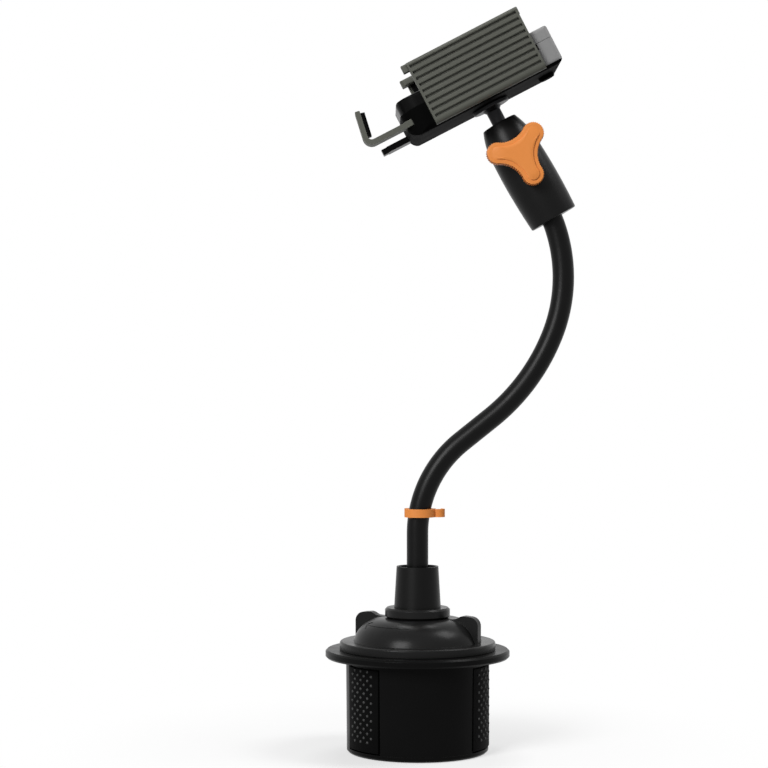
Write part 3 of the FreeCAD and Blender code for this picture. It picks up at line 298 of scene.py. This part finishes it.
def moulded(name, dark, light, roughness, specular, grain=0.25, edge=None, soften=0.0003,
            painted_groove_shade=None):
    """Moulded plastic: spark-eroded grain and faint flow marks, and where their colours are given,
    lighter edges that are partly wear and partly a painted highlight, and painted shade in grooves
    and creases."""
    s = Shader(name)
    flow = s.noise(FLOW_MARKS, 3.0)
    speck = s.noise(SPECKS, 1.0)
    base = s.ramp(flow, (0.3, dark), (0.7, light))
    tone = s.blend(SPECK_SHARE, base, s.ramp(speck, (0.35, dark), (0.65, light)))
    # Lighter edges in patches: partly wear, partly a painted highlight along the edges
    if edge is not None:
        edge_patches = s.spread(s.noise(EDGE_PATCH_MARKS, 4.0), 0.2, 0.9)
        wear_and_highlight_edges = s.node("ShaderNodeMath", {0: s.edges(LIGHTER_EDGE_WIDTH), 1: edge_patches},
                        operation="MULTIPLY")
        tone = s.blend(wear_and_highlight_edges.outputs["Value"], tone, (*edge, 1.0))
    # Painted shade: the colour turns towards the given dark where ambient occlusion finds grooves
    # and creases
    if painted_groove_shade is not None:
        reach = s.node("ShaderNodeAmbientOcclusion", {"Distance": PAINTED_SHADE_REACH}, samples=6)
        painted_shade_amount = s.spread(reach.outputs["AO"], 1.0, 0.0, 0.35, 0.85)
        tone = s.blend(painted_shade_amount, tone, (*painted_groove_shade, 1.0))
    sheen = s.spread(s.noise(SHEEN_MARKS, 4.0), roughness - SHEEN_SPREAD,
                     roughness + SHEEN_SPREAD)
    s.set(Base_Color=tone, Roughness=sheen, Specular_IOR_Level=specular)
    s.bumps([(s.noise(SPARK_GRAIN, 2.0), grain, GRAIN_DEPTH),
             (s.noise(SINK_MARKS, 2.0), SINK_STRENGTH, SINK_DEPTH)], s.rounded(soften))
    return s.material


def rubber(name, dark, light, roughness, specular, uv=False):
    """Soft-touch rubber: a very fine matt skin with faint rub marks, laid out on the mesh's UV
    map where the mesh bends."""
    s = Shader(name)
    if uv:
        s.place = s.coordinates.outputs["UV"]
    tone = s.ramp(s.noise(RUB_MARKS, 3.0), (0.35, dark), (0.75, light))
    sheen = s.spread(s.noise(SHEEN_MARKS, 2.0), roughness - SHEEN_SPREAD,
                     roughness + SHEEN_SPREAD)
    s.set(Base_Color=tone, Roughness=sheen, Specular_IOR_Level=specular)
    s.bumps([(s.noise(SKIN_GRAIN, 1.0), SKIN_STRENGTH, SKIN_DEPTH)])
    return s.material


def metal(name, colour, roughness, drawn=(1.0, 1.0, 1.0)):
    """Plated steel with stains and fine tool marks. Along an axis whose share in drawn is above
    1, the marks lie closer."""
    s = Shader(name)
    mapped = s.node("ShaderNodeMapping", {"Vector": s.place, "Scale": drawn})
    marks = s.noise(TOOL_MARKS, 4.0, 0.6, mapped.outputs["Vector"])
    stained = tuple(channel * STAINED_SHARE for channel in colour)
    tone = s.ramp(s.noise(STAINS, 4.0), (0.3, stained), (0.7, colour))
    sheen = s.spread(marks, roughness - METAL_SMOOTHER, roughness + METAL_ROUGHER)
    s.set(Base_Color=tone, Metallic=1.0, Roughness=sheen)
    s.bumps([(marks, TOOL_STRENGTH, TOOL_DEPTH)])
    return s.material


# Each edge colour below is partly wear and partly a painted highlight along the edges
BLACK = moulded("satin_black", grey(0.0022), grey(0.0034), 0.30, 0.045, edge=grey(0.010))
# The dial's and the barrel's blacks are lighter copies of the satin black: painted light for their
# lit faces
DIAL_BLACK_PAINTED_LIT = moulded("dial_black_painted_lit", grey(0.0080), grey(0.0110), 0.29, 0.100, edge=grey(0.020))
BARREL_BLACK_PAINTED_LIT = moulded("barrel_black_painted_lit", grey(0.0040), grey(0.0060), 0.31, 0.100,
                       edge=grey(0.014))
SHELL_BLACK = moulded("shell_black", grey(0.0016), grey(0.0026), 0.62, 0.008, edge=grey(0.012))
# The olive's last colour is painted shade in its rib grooves
OLIVE = moulded("olive_grey", (0.074, 0.0765, 0.064), (0.092, 0.0945, 0.080), 0.55, 0.16,
                edge=(0.190, 0.195, 0.170), soften=0.0002, painted_groove_shade=(0.018, 0.018, 0.015))
CAP_GREY = moulded("cap_grey", grey(0.215), grey(0.232), 0.50, 0.25, edge=grey(0.26))
ORANGE = moulded("satin_orange", (0.690, 0.230, 0.050), (0.735, 0.255, 0.060), 0.50, 0.20,
                 grain=0.18, edge=(0.84, 0.34, 0.10), soften=0.0001)
RUBBER = rubber("matt_rubber", grey(0.0022), grey(0.0034), 0.55, 0.02)
DOT_RUBBER = rubber("dot_rubber", grey(0.034), grey(0.048), 0.40, 0.15)
SHEATH = rubber("soft_sheath", grey(0.0016), grey(0.0024), 0.36, 0.115, uv=True)
SLEEVE = rubber("soft_sleeve", grey(0.0016), grey(0.0024), 0.36, 0.115)
NYLON = moulded("natural_nylon", (0.42, 0.41, 0.37), (0.52, 0.51, 0.47), 0.40, 0.4)
STEEL = metal("zinc_steel", (0.62, 0.62, 0.64), 0.34)
DARK_STEEL = metal("dark_steel", (0.020, 0.020, 0.021), 0.42)
CORE_WIRE = metal("wound_wire", (0.40, 0.40, 0.42), 0.38, (1.0, 1.0, 6.0))

FINISHES = {
    "black_plastic": BLACK,
    "grey_black_plastic": SHELL_BLACK,
    "soft_black": SLEEVE,
    "black_rubber": RUBBER,
    "olive_plastic": OLIVE,
    "grey_plastic": CAP_GREY,
    "orange_plastic": ORANGE,
    "button_plastic": SHELL_BLACK,
    "seat_nylon": NYLON,
    "dark_metal": DARK_STEEL,
    "steel": STEEL,
    "core_wire": CORE_WIRE,
}
# The dial, its collar and the barrel take the painted-lit copies of the black
OWN_FINISHES = {"dial": DIAL_BLACK_PAINTED_LIT, "dial_collar": DIAL_BLACK_PAINTED_LIT, "barrel": BARREL_BLACK_PAINTED_LIT}


def finish_nodes():
    """Give each CAD node its own material, or else the one that its slot names."""
    slots = {part["node"]: part["material_slot"] for part in frame["record"]["subparts"]}
    for name, thing in frame["nodes"].items():
        material = OWN_FINISHES.get(name) or FINISHES[slots[name]]
        thing.data.materials.clear()
        thing.data.materials.append(material)


# Meshes
def mesh_object(name, points, faces, material, crease):
    """A closed mesh from points in millimetres. Its faces are turned outwards, and shaded smooth
    but for edges that turn by more than the crease."""
    mesh = bpy.data.meshes.new(name)
    mesh.from_pydata([Vector(point) * MM for point in points], [], faces)
    mesh.validate()
    mesh.materials.append(material)
    work = bmesh.new()
    work.from_mesh(mesh)
    bmesh.ops.recalc_face_normals(work, faces=work.faces)
    for face in work.faces:
        face.smooth = True
    for edge in work.edges:
        if len(edge.link_faces) == 2 and edge.calc_face_angle(0.0) > math.radians(crease):
            edge.smooth = False
    work.to_mesh(mesh)
    work.free()
    thing = bpy.data.objects.new(name, mesh)
    bpy.context.scene.collection.objects.link(thing)
    return thing


def strips(rings, around, closed=False):
    """Faces between rings of points that follow each other in the list of points. In a closed
    row the last ring also meets the first."""
    faces = []
    for i in range(rings if closed else rings - 1):
        a, b = i * around, (i + 1) % rings * around
        for j in range(around):
            k = (j + 1) % around
            faces.append((a + j, a + k, b + k, b + j))
    return faces


# Neck
def neck_runs():
    """The centre line's runs, each (length, turn), with turn 0 for a straight one."""
    runs = [(NECK_STRAIGHT_TOP - NECK_BOTTOM, 0.0)]
    for i, (radius, turn) in enumerate(NECK_BENDS):
        runs.append((math.radians(abs(turn)) * radius, turn))
        if i == 0:
            runs.append((NECK_RUN_AFTER_FIRST, 0.0))
    runs.append((NECK_END_RUN, 0.0))
    return runs


def neck_at(distance):
    """Point and heading on the centre line, at a distance from the column's bottom."""
    point, heading = Vector((0.0, 0.0, NECK_BOTTOM)), 0.0
    for length, turn in neck_runs():
        step = min(length, distance)
        if turn == 0.0:
            point = point + Vector((sine(heading), 0.0, cosine(heading))) * step
        else:
            radius = length / math.radians(turn)
            centre = point + Vector((cosine(heading), 0.0, -sine(heading))) * radius
            heading += turn * step / length
            point = centre - Vector((cosine(heading), 0.0, -sine(heading))) * radius
        distance -= step
        if distance <= NEAR_ZERO:
            break
    return point, heading


NECK_LENGTH = sum(length for length, turn in neck_runs())
HINGE_PITCH = (NECK_LENGTH - HINGE_END_RUN - HINGE_FIRST) / (BEND_HINGES - 1)


def sheath_rings(start, end, socket, ball):
    """Rings of (distance along the neck, straight offset from there, radius), up the outside of
    the wall and down its inside."""
    bore = SHEATH_RADIUS - SHEATH_WALL
    hollow = SHEATH_RADIUS + BALL_GAP
    count = round((end - start) / SHEATH_RING_STEP)
    line = [start + (end - start) * i / count for i in range(count + 1)]
    rings = [(distance, 0.0, SHEATH_RADIUS) for distance in line]
    walls = [(distance, 0.0, bore) for distance in reversed(line)]
    if socket:
        rings[0] = (start, math.sqrt(hollow ** 2 - SHEATH_RADIUS ** 2), SHEATH_RADIUS)
        deep = math.degrees(math.acos(bore / hollow))
        clear = start + hollow * sine(deep) + HOLLOW_MARGIN
        walls = [wall for wall in walls if wall[0] > clear]
        for share in reversed(BALL_SHARES):
            walls.append((start, hollow * sine(deep * share), hollow * cosine(deep * share)))
    if ball:
        for share in BALL_SHARES:
            angle = BALL_REACH * share
            rings.append((end, SHEATH_RADIUS * sine(angle), SHEATH_RADIUS * cosine(angle)))
        rings.append((end, SHEATH_RADIUS * sine(BALL_REACH), bore + BALL_LIP))
    return rings + walls


def sheath_piece(name, start, end, socket=False, ball=False):
    """A stretch of the sheath: a round tube with a wall. It may begin with a hollow that turns
    on the ball end of the stretch before it, and end with such a ball end, both about a hinge."""
    rings = sheath_rings(start, end, socket, ball)
    across = Vector((0.0, 1.0, 0.0))
    points, laid = [], []
    for distance, offset, radius in rings:
        point, heading = neck_at(distance)
        point = point + Vector((sine(heading), 0.0, cosine(heading))) * offset
        side = Vector((cosine(heading), 0.0, -sine(heading)))
        for j in range(SHEATH_SIDES):
            turn = 360.0 * j / SHEATH_SIDES
            points.append(point + (side * cosine(turn) + across * sine(turn)) * radius)
            laid.append((2 * math.pi * SHEATH_RADIUS * j / SHEATH_SIDES * MM,
                         (distance + offset) * MM))
    faces = strips(len(rings), SHEATH_SIDES, closed=True)
    thing = mesh_object(name, points, faces, SHEATH, SHEATH_CREASE)
    layer = thing.data.uv_layers.new(name="Laid")
    for loop in thing.data.loops:
        layer.data[loop.index].uv = laid[loop.vertex_index]
    return thing


def make_sheath():
    """One tube at rest. At the sideways hinges and the hinges below the first of them a piece
    spans the hinge and stays in the holder's frame. At the others, where a bend follows a sideways
    turn, a stiff piece's ball end turns in the next one's hollow end."""
    bends = [HINGE_FIRST + HINGE_PITCH * i for i in range(BEND_HINGES)]
    sides = [HINGE_FIRST + HINGE_PITCH * (i + 0.5) for i in SIDE_HINGES_AFTER]
    hinges = sorted(bends + sides)
    bodies = ["base"] + ["neck_%02d" % (i + 1) for i in range(len(hinges))]
    soft = [hinge in sides or hinge < min(sides) for hinge in hinges]
    middles = [(a + b) / 2 for a, b in zip(hinges, hinges[1:])]
    starts = [SHEATH_LOW] + middles
    ends = middles + [NECK_LENGTH - SHEATH_END_GAP]
    made, start, socket = 0, SHEATH_LOW, False
    for i, hinge in enumerate(hinges):
        made += 1
        name = "sheath_%02d" % made
        if soft[i]:
            piece = sheath_piece(name, start, ends[i], socket)
            reach = HINGE_PITCH / 2 if i == 0 else min(hinge - starts[i], ends[i] - hinge)
            low, _ = neck_at(hinge - reach)
            high, _ = neck_at(hinge + reach)
            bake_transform(piece)
            start, socket = ends[i], False
        else:
            piece = sheath_piece(name, start, hinge, socket, ball=True)
            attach(piece, bodies[i])
            start, socket = hinge, True
            if i + 1 == len(hinges) or soft[i + 1]:
                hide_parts("neck_sheath")
                made += 1
                piece = sheath_piece("sheath_%02d" % made, start, ends[i], socket)
                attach(piece, bodies[i + 1])
                start, socket = ends[i], False
        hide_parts("neck_sheath")


# Grip dots: small domes in staggered columns on each jaw's rubber pad
def make_dots():
    up = Vector((0.0, 0.0, 1.0))
    rise = DOT_HEIGHT + DOT_SUNK
    for index, azimuth in enumerate(JAW_AZIMUTHS):
        points, faces = [], []
        for column in range(DOT_COLUMNS):
            turn = azimuth + (column - (DOT_COLUMNS - 1) / 2) * DOT_COLUMN_TURN
            out = Vector((cosine(turn), sine(turn), 0.0))
            across = Vector((-sine(turn), cosine(turn), 0.0))
            for level in range(1 - column % 2, DOT_LEVELS, 2):
                height = DOT_BOTTOM + level * DOT_LEVEL_STEP
                centre = out * (PAD_RADIUS - DOT_SUNK) + up * height
                first = len(points)
                points.append(centre + out * rise)
                for ring in range(1, DOT_RINGS + 1):
                    angle = 90.0 * ring / DOT_RINGS
                    for j in range(DOT_SIDES):
                        place = 360 * j / DOT_SIDES
                        side = across * cosine(place) + up * sine(place)
                        points.append(centre + out * rise * cosine(angle)
                                      + side * DOT_RADIUS * sine(angle))
                for j in range(DOT_SIDES):
                    k = (j + 1) % DOT_SIDES
                    faces.append((first, first + 1 + j, first + 1 + k))
                    for ring in range(DOT_RINGS - 1):
                        a = first + 1 + ring * DOT_SIDES
                        faces.append((a + j, a + DOT_SIDES + j, a + DOT_SIDES + k, a + k))
                foot = first + 1 + (DOT_RINGS - 1) * DOT_SIDES
                faces.append([foot + j for j in reversed(range(DOT_SIDES))])
        name = "grip_dots_%d" % (index + 1)
        thing = mesh_object(name, points, faces, DOT_RUBBER, BEAD_CREASE)
        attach(thing, "jaw_%d" % (index + 1))


# Arrow on the dial's dome: a low bead that points the way in which the dial tightens the jaws
def dome_circle():
    """Centre and radius of the dome's arc."""
    (ax, ay), (bx, by), (cx, cy) = DOME_ARC
    d = 2 * (ax * (by - cy) + bx * (cy - ay) + cx * (ay - by))
    a, b, c = ax * ax + ay * ay, bx * bx + by * by, cx * cx + cy * cy
    x = (a * (by - cy) + b * (cy - ay) + c * (ay - by)) / d
    y = (a * (cx - bx) + b * (ax - cx) + c * (bx - ax)) / d
    return x, y, math.hypot(ax - x, ay - y)


def bead(line):
    """A low bead along a line of (azimuth, distance up the dome's arc from the arrow's
    circle)."""
    x, y, radius = dome_circle()
    middle = math.degrees(math.acos((ARROW_RADIUS - x) / radius))

    def at(azimuth, along, height):
        angle = middle + math.degrees(along / radius)
        flat = x + (radius + height) * cosine(angle)
        return Vector((flat * cosine(azimuth), flat * sine(azimuth),
                       y + (radius + height) * sine(angle)))

    points = []
    for i, (azimuth, along) in enumerate(line):
        before, after = line[max(i - 1, 0)], line[min(i + 1, len(line) - 1)]
        run = math.radians(after[0] - before[0]) * ARROW_RADIUS
        rise = after[1] - before[1]
        length = math.hypot(run, rise)
        for share, height in ARROW_PROFILE:
            turn = math.degrees(-rise / length * share * ARROW_WIDTH / ARROW_RADIUS)
            points.append(at(azimuth + turn, along + run / length * share * ARROW_WIDTH,
                             height * ARROW_HEIGHT))
    count = len(ARROW_PROFILE)
    faces = strips(len(line), count)
    faces.append(tuple(range(count)))
    faces.append(tuple(reversed(range(len(points) - count, len(points)))))
    return points, faces


def make_arrow():
    sweep = ARROW_TIP - ARROW_START
    lines = [[(ARROW_START + sweep * i / ARROW_STEPS, 0.0) for i in range(ARROW_STEPS + 1)]]
    for side in (-1, 1):
        lines.append([(ARROW_TIP + BARB_TURN * i / BARB_STEPS, side * BARB_REACH * i / BARB_STEPS)
                      for i in range(BARB_STEPS + 1)])
    points, faces = [], []
    for line in lines:
        more_points, more_faces = bead(line)
        faces += [tuple(index + len(points) for index in face) for face in more_faces]
        points += more_points
    thing = mesh_object("dial_arrow", points, faces, DIAL_BLACK_PAINTED_LIT, BEAD_CREASE)
    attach(thing, "dial")


# Clamp knob: three lobes with a knurled rim and a raised triangle that fades towards two lobes
def in_barrel(x, y, z):
    """A point of the barrel's frame, in the holder's frame."""
    return Vector((BALL.x + x * cosine(BARREL_LEAN) - z * sine(BARREL_LEAN), BALL.y + y,
                   BALL.z + x * sine(BARREL_LEAN) + z * cosine(BARREL_LEAN)))


def lobe_line(inset, spacing):
    """Evenly spaced points and outward normals along the lobes' outline, moved in by the inset.
    Between two lobes the outline is an arc about a point that lies outside it."""
    dip = KNOB_WAIST - LOBE_RADIUS
    reach = (LOBE_ORBIT ** 2 - dip ** 2) / (LOBE_ORBIT - 2 * dip)
    flank = reach - KNOB_WAIST
    between = LOBE_TURN / 2
    tangent = math.degrees(math.atan2(reach * sine(between),
                                      LOBE_ORBIT - reach * cosine(between)))
    half = 180 - tangent
    line = []
    for i in range(LOBES):
        middle = LOWEST_LOBE + LOBE_TURN * i
        centre = Vector((LOBE_ORBIT * cosine(middle), LOBE_ORBIT * sine(middle)))
        steps = round(math.radians(2 * half) * LOBE_RADIUS / spacing)
        for step in range(steps):
            angle = middle - half + 2 * half * step / steps
            normal = Vector((cosine(angle), sine(angle)))
            line.append((centre + normal * (LOBE_RADIUS - inset), normal))
        far = Vector((reach * cosine(middle + between), reach * sine(middle + between)))
        first = middle + half + 180
        sweep = 2 * (first - (middle + between + 180))
        steps = round(math.radians(sweep) * flank / spacing)
        for step in range(steps):
            angle = first - sweep * step / steps
            normal = -Vector((cosine(angle), sine(angle)))
            line.append((far - normal * (flank + inset), normal))
    return line


def make_knob():
    spacing = KNURL_PITCH / KNURL_POINTS
    rim = lobe_line(0.0, spacing)
    step = lobe_line(PLATEAU_INSET, spacing)
    inner = lobe_line(PLATEAU_INSET + PLATEAU_SLOPE, spacing)
    count = len(rim)

    def at(flat, depth):
        """A point of the knob's face plane, at a depth from the barrel's axis to the viewer."""
        return in_barrel(flat.x, -depth, flat.y + KNOB_AXIS)

    def circle(radius, depth):
        return [at(point.normalized() * radius, depth) for point, _ in rim]

    def outline(inset, knurl, depth):
        """The rim, moved in by the inset, with a groove between two of the knurl's teeth."""
        ring, half = [], KNURL_POINTS / 2
        for j, (point, normal) in enumerate(rim):
            tooth = abs((j % KNURL_POINTS) - half) / half
            ring.append(at(point - normal * (inset + knurl * (1 - tooth)), depth))
        return ring

    def plateau(line, height):
        """The raised triangle's edge: it ends in a step on the lowest lobe and fades out along
        the other two."""
        ring = []
        for point, _ in line:
            away = LOWEST_LOBE - math.degrees(math.atan2(point.y, point.x))
            stepped = abs((away + 180) % 360 - 180) < PLATEAU_STEP_HALF
            left = (PLATEAU_END - point.length) / PLATEAU_FADE
            fade = 1.0 if stepped else max(0.0, min(1.0, left))
            fade = fade * fade * (3 - 2 * fade)
            ring.append(at(point, KNOB_FRONT + height * fade))
        return ring

    top = KNOB_FRONT + PLATEAU_HEIGHT
    rings = [
        circle(KNOB_BORE_RADIUS, KNOB_BACK),
        circle(KNOB_HUB_RADIUS - KNOB_HUB_EDGE, KNOB_BACK),
        circle(KNOB_HUB_RADIUS, KNOB_BACK + KNOB_HUB_EDGE),
        circle(KNOB_HUB_RADIUS, KNOB_PLATE),
        outline(KNOB_PLATE_INSET, 0.0, KNOB_PLATE),
    ]
    for inset, depth, share in KNOB_EDGE:
        rings.append(outline(inset, KNURL_DEPTH * share, KNOB_PLATE + depth))
    for inset, depth, share in reversed(KNOB_EDGE):
        rings.append(outline(inset, KNURL_DEPTH * share, KNOB_FRONT - depth))
    rings += [
        outline(KNOB_FACE_INSET, 0.0, KNOB_FRONT),
        plateau(step, 0.0),
        plateau(step, PLATEAU_HEIGHT * PLATEAU_STEP_SHARE),
        plateau(inner, PLATEAU_HEIGHT),
    ]
    for share in PLATEAU_SHARES:
        rings.append([at(point * share, top) for point, _ in inner])
    points = [point for ring in rings for point in ring]
    faces = strips(len(rings), count)

    # The top closes at its centre, and the bore ends inside the knob
    middle = Vector((0.0, 0.0))
    last = len(points) - count
    centre = len(points)
    points.append(at(middle, top))
    deep = len(points)
    points.extend(circle(KNOB_BORE_RADIUS, KNOB_FRONT - KNOB_BORE_STOP))
    bottom = len(points)
    points.append(at(middle, KNOB_FRONT - KNOB_BORE_STOP))
    for j in range(count):
        k = (j + 1) % count
        faces.append((last + j, last + k, centre))
        faces.append((j, deep + j, deep + k, k))
        faces.append((deep + j, bottom, deep + k))
    thing = mesh_object("knob", points, faces, ORANGE, KNOB_CREASE)
    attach(thing, "knob")
    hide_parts("clamp_knob")


# Room: a pale floor that fades to white, a white surround, three soft lamps
def seen_rays(tree):
    """1 for camera, glossy and transmission rays, and 0 for the light that falls on things."""
    path = add_node(tree, "ShaderNodeLightPath")
    total = path.outputs["Is Camera Ray"]
    for name in ("Is Glossy Ray", "Is Transmission Ray"):
        either = add_node(tree, "ShaderNodeMath", {0: total, 1: path.outputs[name]},
                          operation="MAXIMUM")
        total = either.outputs["Value"]
    return total


def make_floor():
    work = bmesh.new()
    bmesh.ops.create_circle(work, cap_ends=True, segments=FLOOR_SIDES, radius=FLOOR_RADIUS)
    mesh = bpy.data.meshes.new("floor")
    work.to_mesh(mesh)
    work.free()
    floor = bpy.data.objects.new("floor", mesh)
    floor.location = (0.0, 0.0, FLOOR_LEVEL)
    bpy.context.scene.collection.objects.link(floor)
    s = Shader("pale_floor")
    seen = seen_rays(s.tree)
    shade = s.node("ShaderNodeMapRange", {
        "Value": seen, "To Min": FLOOR_BOUNCE, "To Max": FLOOR_PALE})
    pale = s.node("ShaderNodeBsdfDiffuse", {"Color": shade.outputs["Result"]})
    white = s.node("ShaderNodeEmission", {"Color": WHITE})
    distance = s.node("ShaderNodeVectorMath", {0: s.place}, operation="LENGTH")
    fade = s.node("ShaderNodeMapRange", {
        "Value": distance.outputs["Value"], "From Min": FADE_START, "From Max": FADE_END,
        "To Min": FADE_LEAST}, interpolation_type="SMOOTHSTEP")
    amount = s.node("ShaderNodeMath", {0: fade.outputs["Result"], 1: seen},
                    operation="MULTIPLY")
    mix = s.node("ShaderNodeMixShader", {
        "Fac": amount.outputs["Value"], 1: pale.outputs["BSDF"], 2: white.outputs["Emission"]})
    feed(s.tree, s.tree.nodes["Material Output"].inputs["Surface"], mix.outputs["Shader"])
    s.tree.nodes.remove(s.surface)
    floor.data.materials.append(s.material)


def make_world():
    world = bpy.data.worlds.new("surround")
    bpy.context.scene.world = world
    world.use_nodes = True
    tree = world.node_tree
    place = add_node(tree, "ShaderNodeTexCoord")
    split = add_node(tree, "ShaderNodeSeparateXYZ", {"Vector": place.outputs["Generated"]})
    ambient = add_node(tree, "ShaderNodeMapRange", {
        "Value": split.outputs["Z"], "From Min": SKY_LOW, "From Max": SKY_HIGH,
        "To Min": SKY_BELOW, "To Max": SKY_ABOVE})
    strength = add_node(tree, "ShaderNodeMapRange", {
        "Value": seen_rays(tree), "To Min": ambient.outputs["Result"], "To Max": 1.0})
    background = tree.nodes["Background"]
    feed(tree, background.inputs["Color"], WHITE)
    feed(tree, background.inputs["Strength"], strength.outputs["Result"])


def lamp(name, at, size, power):
    light = bpy.data.lights.new(name, "AREA")
    light.shape = "RECTANGLE"
    light.size, light.size_y = size
    light.energy = power
    thing = bpy.data.objects.new(name, light)
    thing.location = at
    thing.rotation_euler = (Vector(LAMPS_AIM) - Vector(at)).to_track_quat("-Z", "Y").to_euler()
    bpy.context.scene.collection.objects.link(thing)


def make_lamps():
    lamp("softbox_from_the_left", (-0.64, -0.98, 0.68), (0.55, 0.60), 15.5)
    lamp("above_on_the_right", (0.75, -0.05, 1.15), (0.50, 0.50), 7.0)
    lamp("above_behind", (0.00, 0.50, 1.20), (0.50, 0.40), 4.0)


def make_camera():
    """A level camera that looks along +Y, as in the photo."""
    data = bpy.data.cameras.new("camera")
    data.lens = CAMERA_LENS
    data.sensor_width = SENSOR
    data.clip_start = CAMERA_NEAR
    camera = bpy.data.objects.new("camera", data)
    camera.location = CAMERA_AT
    camera.rotation_euler = (math.radians(90.0), 0.0, 0.0)
    bpy.context.scene.collection.objects.link(camera)
    bpy.context.scene.camera = camera


make_camera()
make_floor()
make_world()
make_lamps()
finish_nodes()
make_sheath()
make_dots()
make_arrow()
make_knob()
bpy.context.scene.view_settings.view_transform = "Standard"
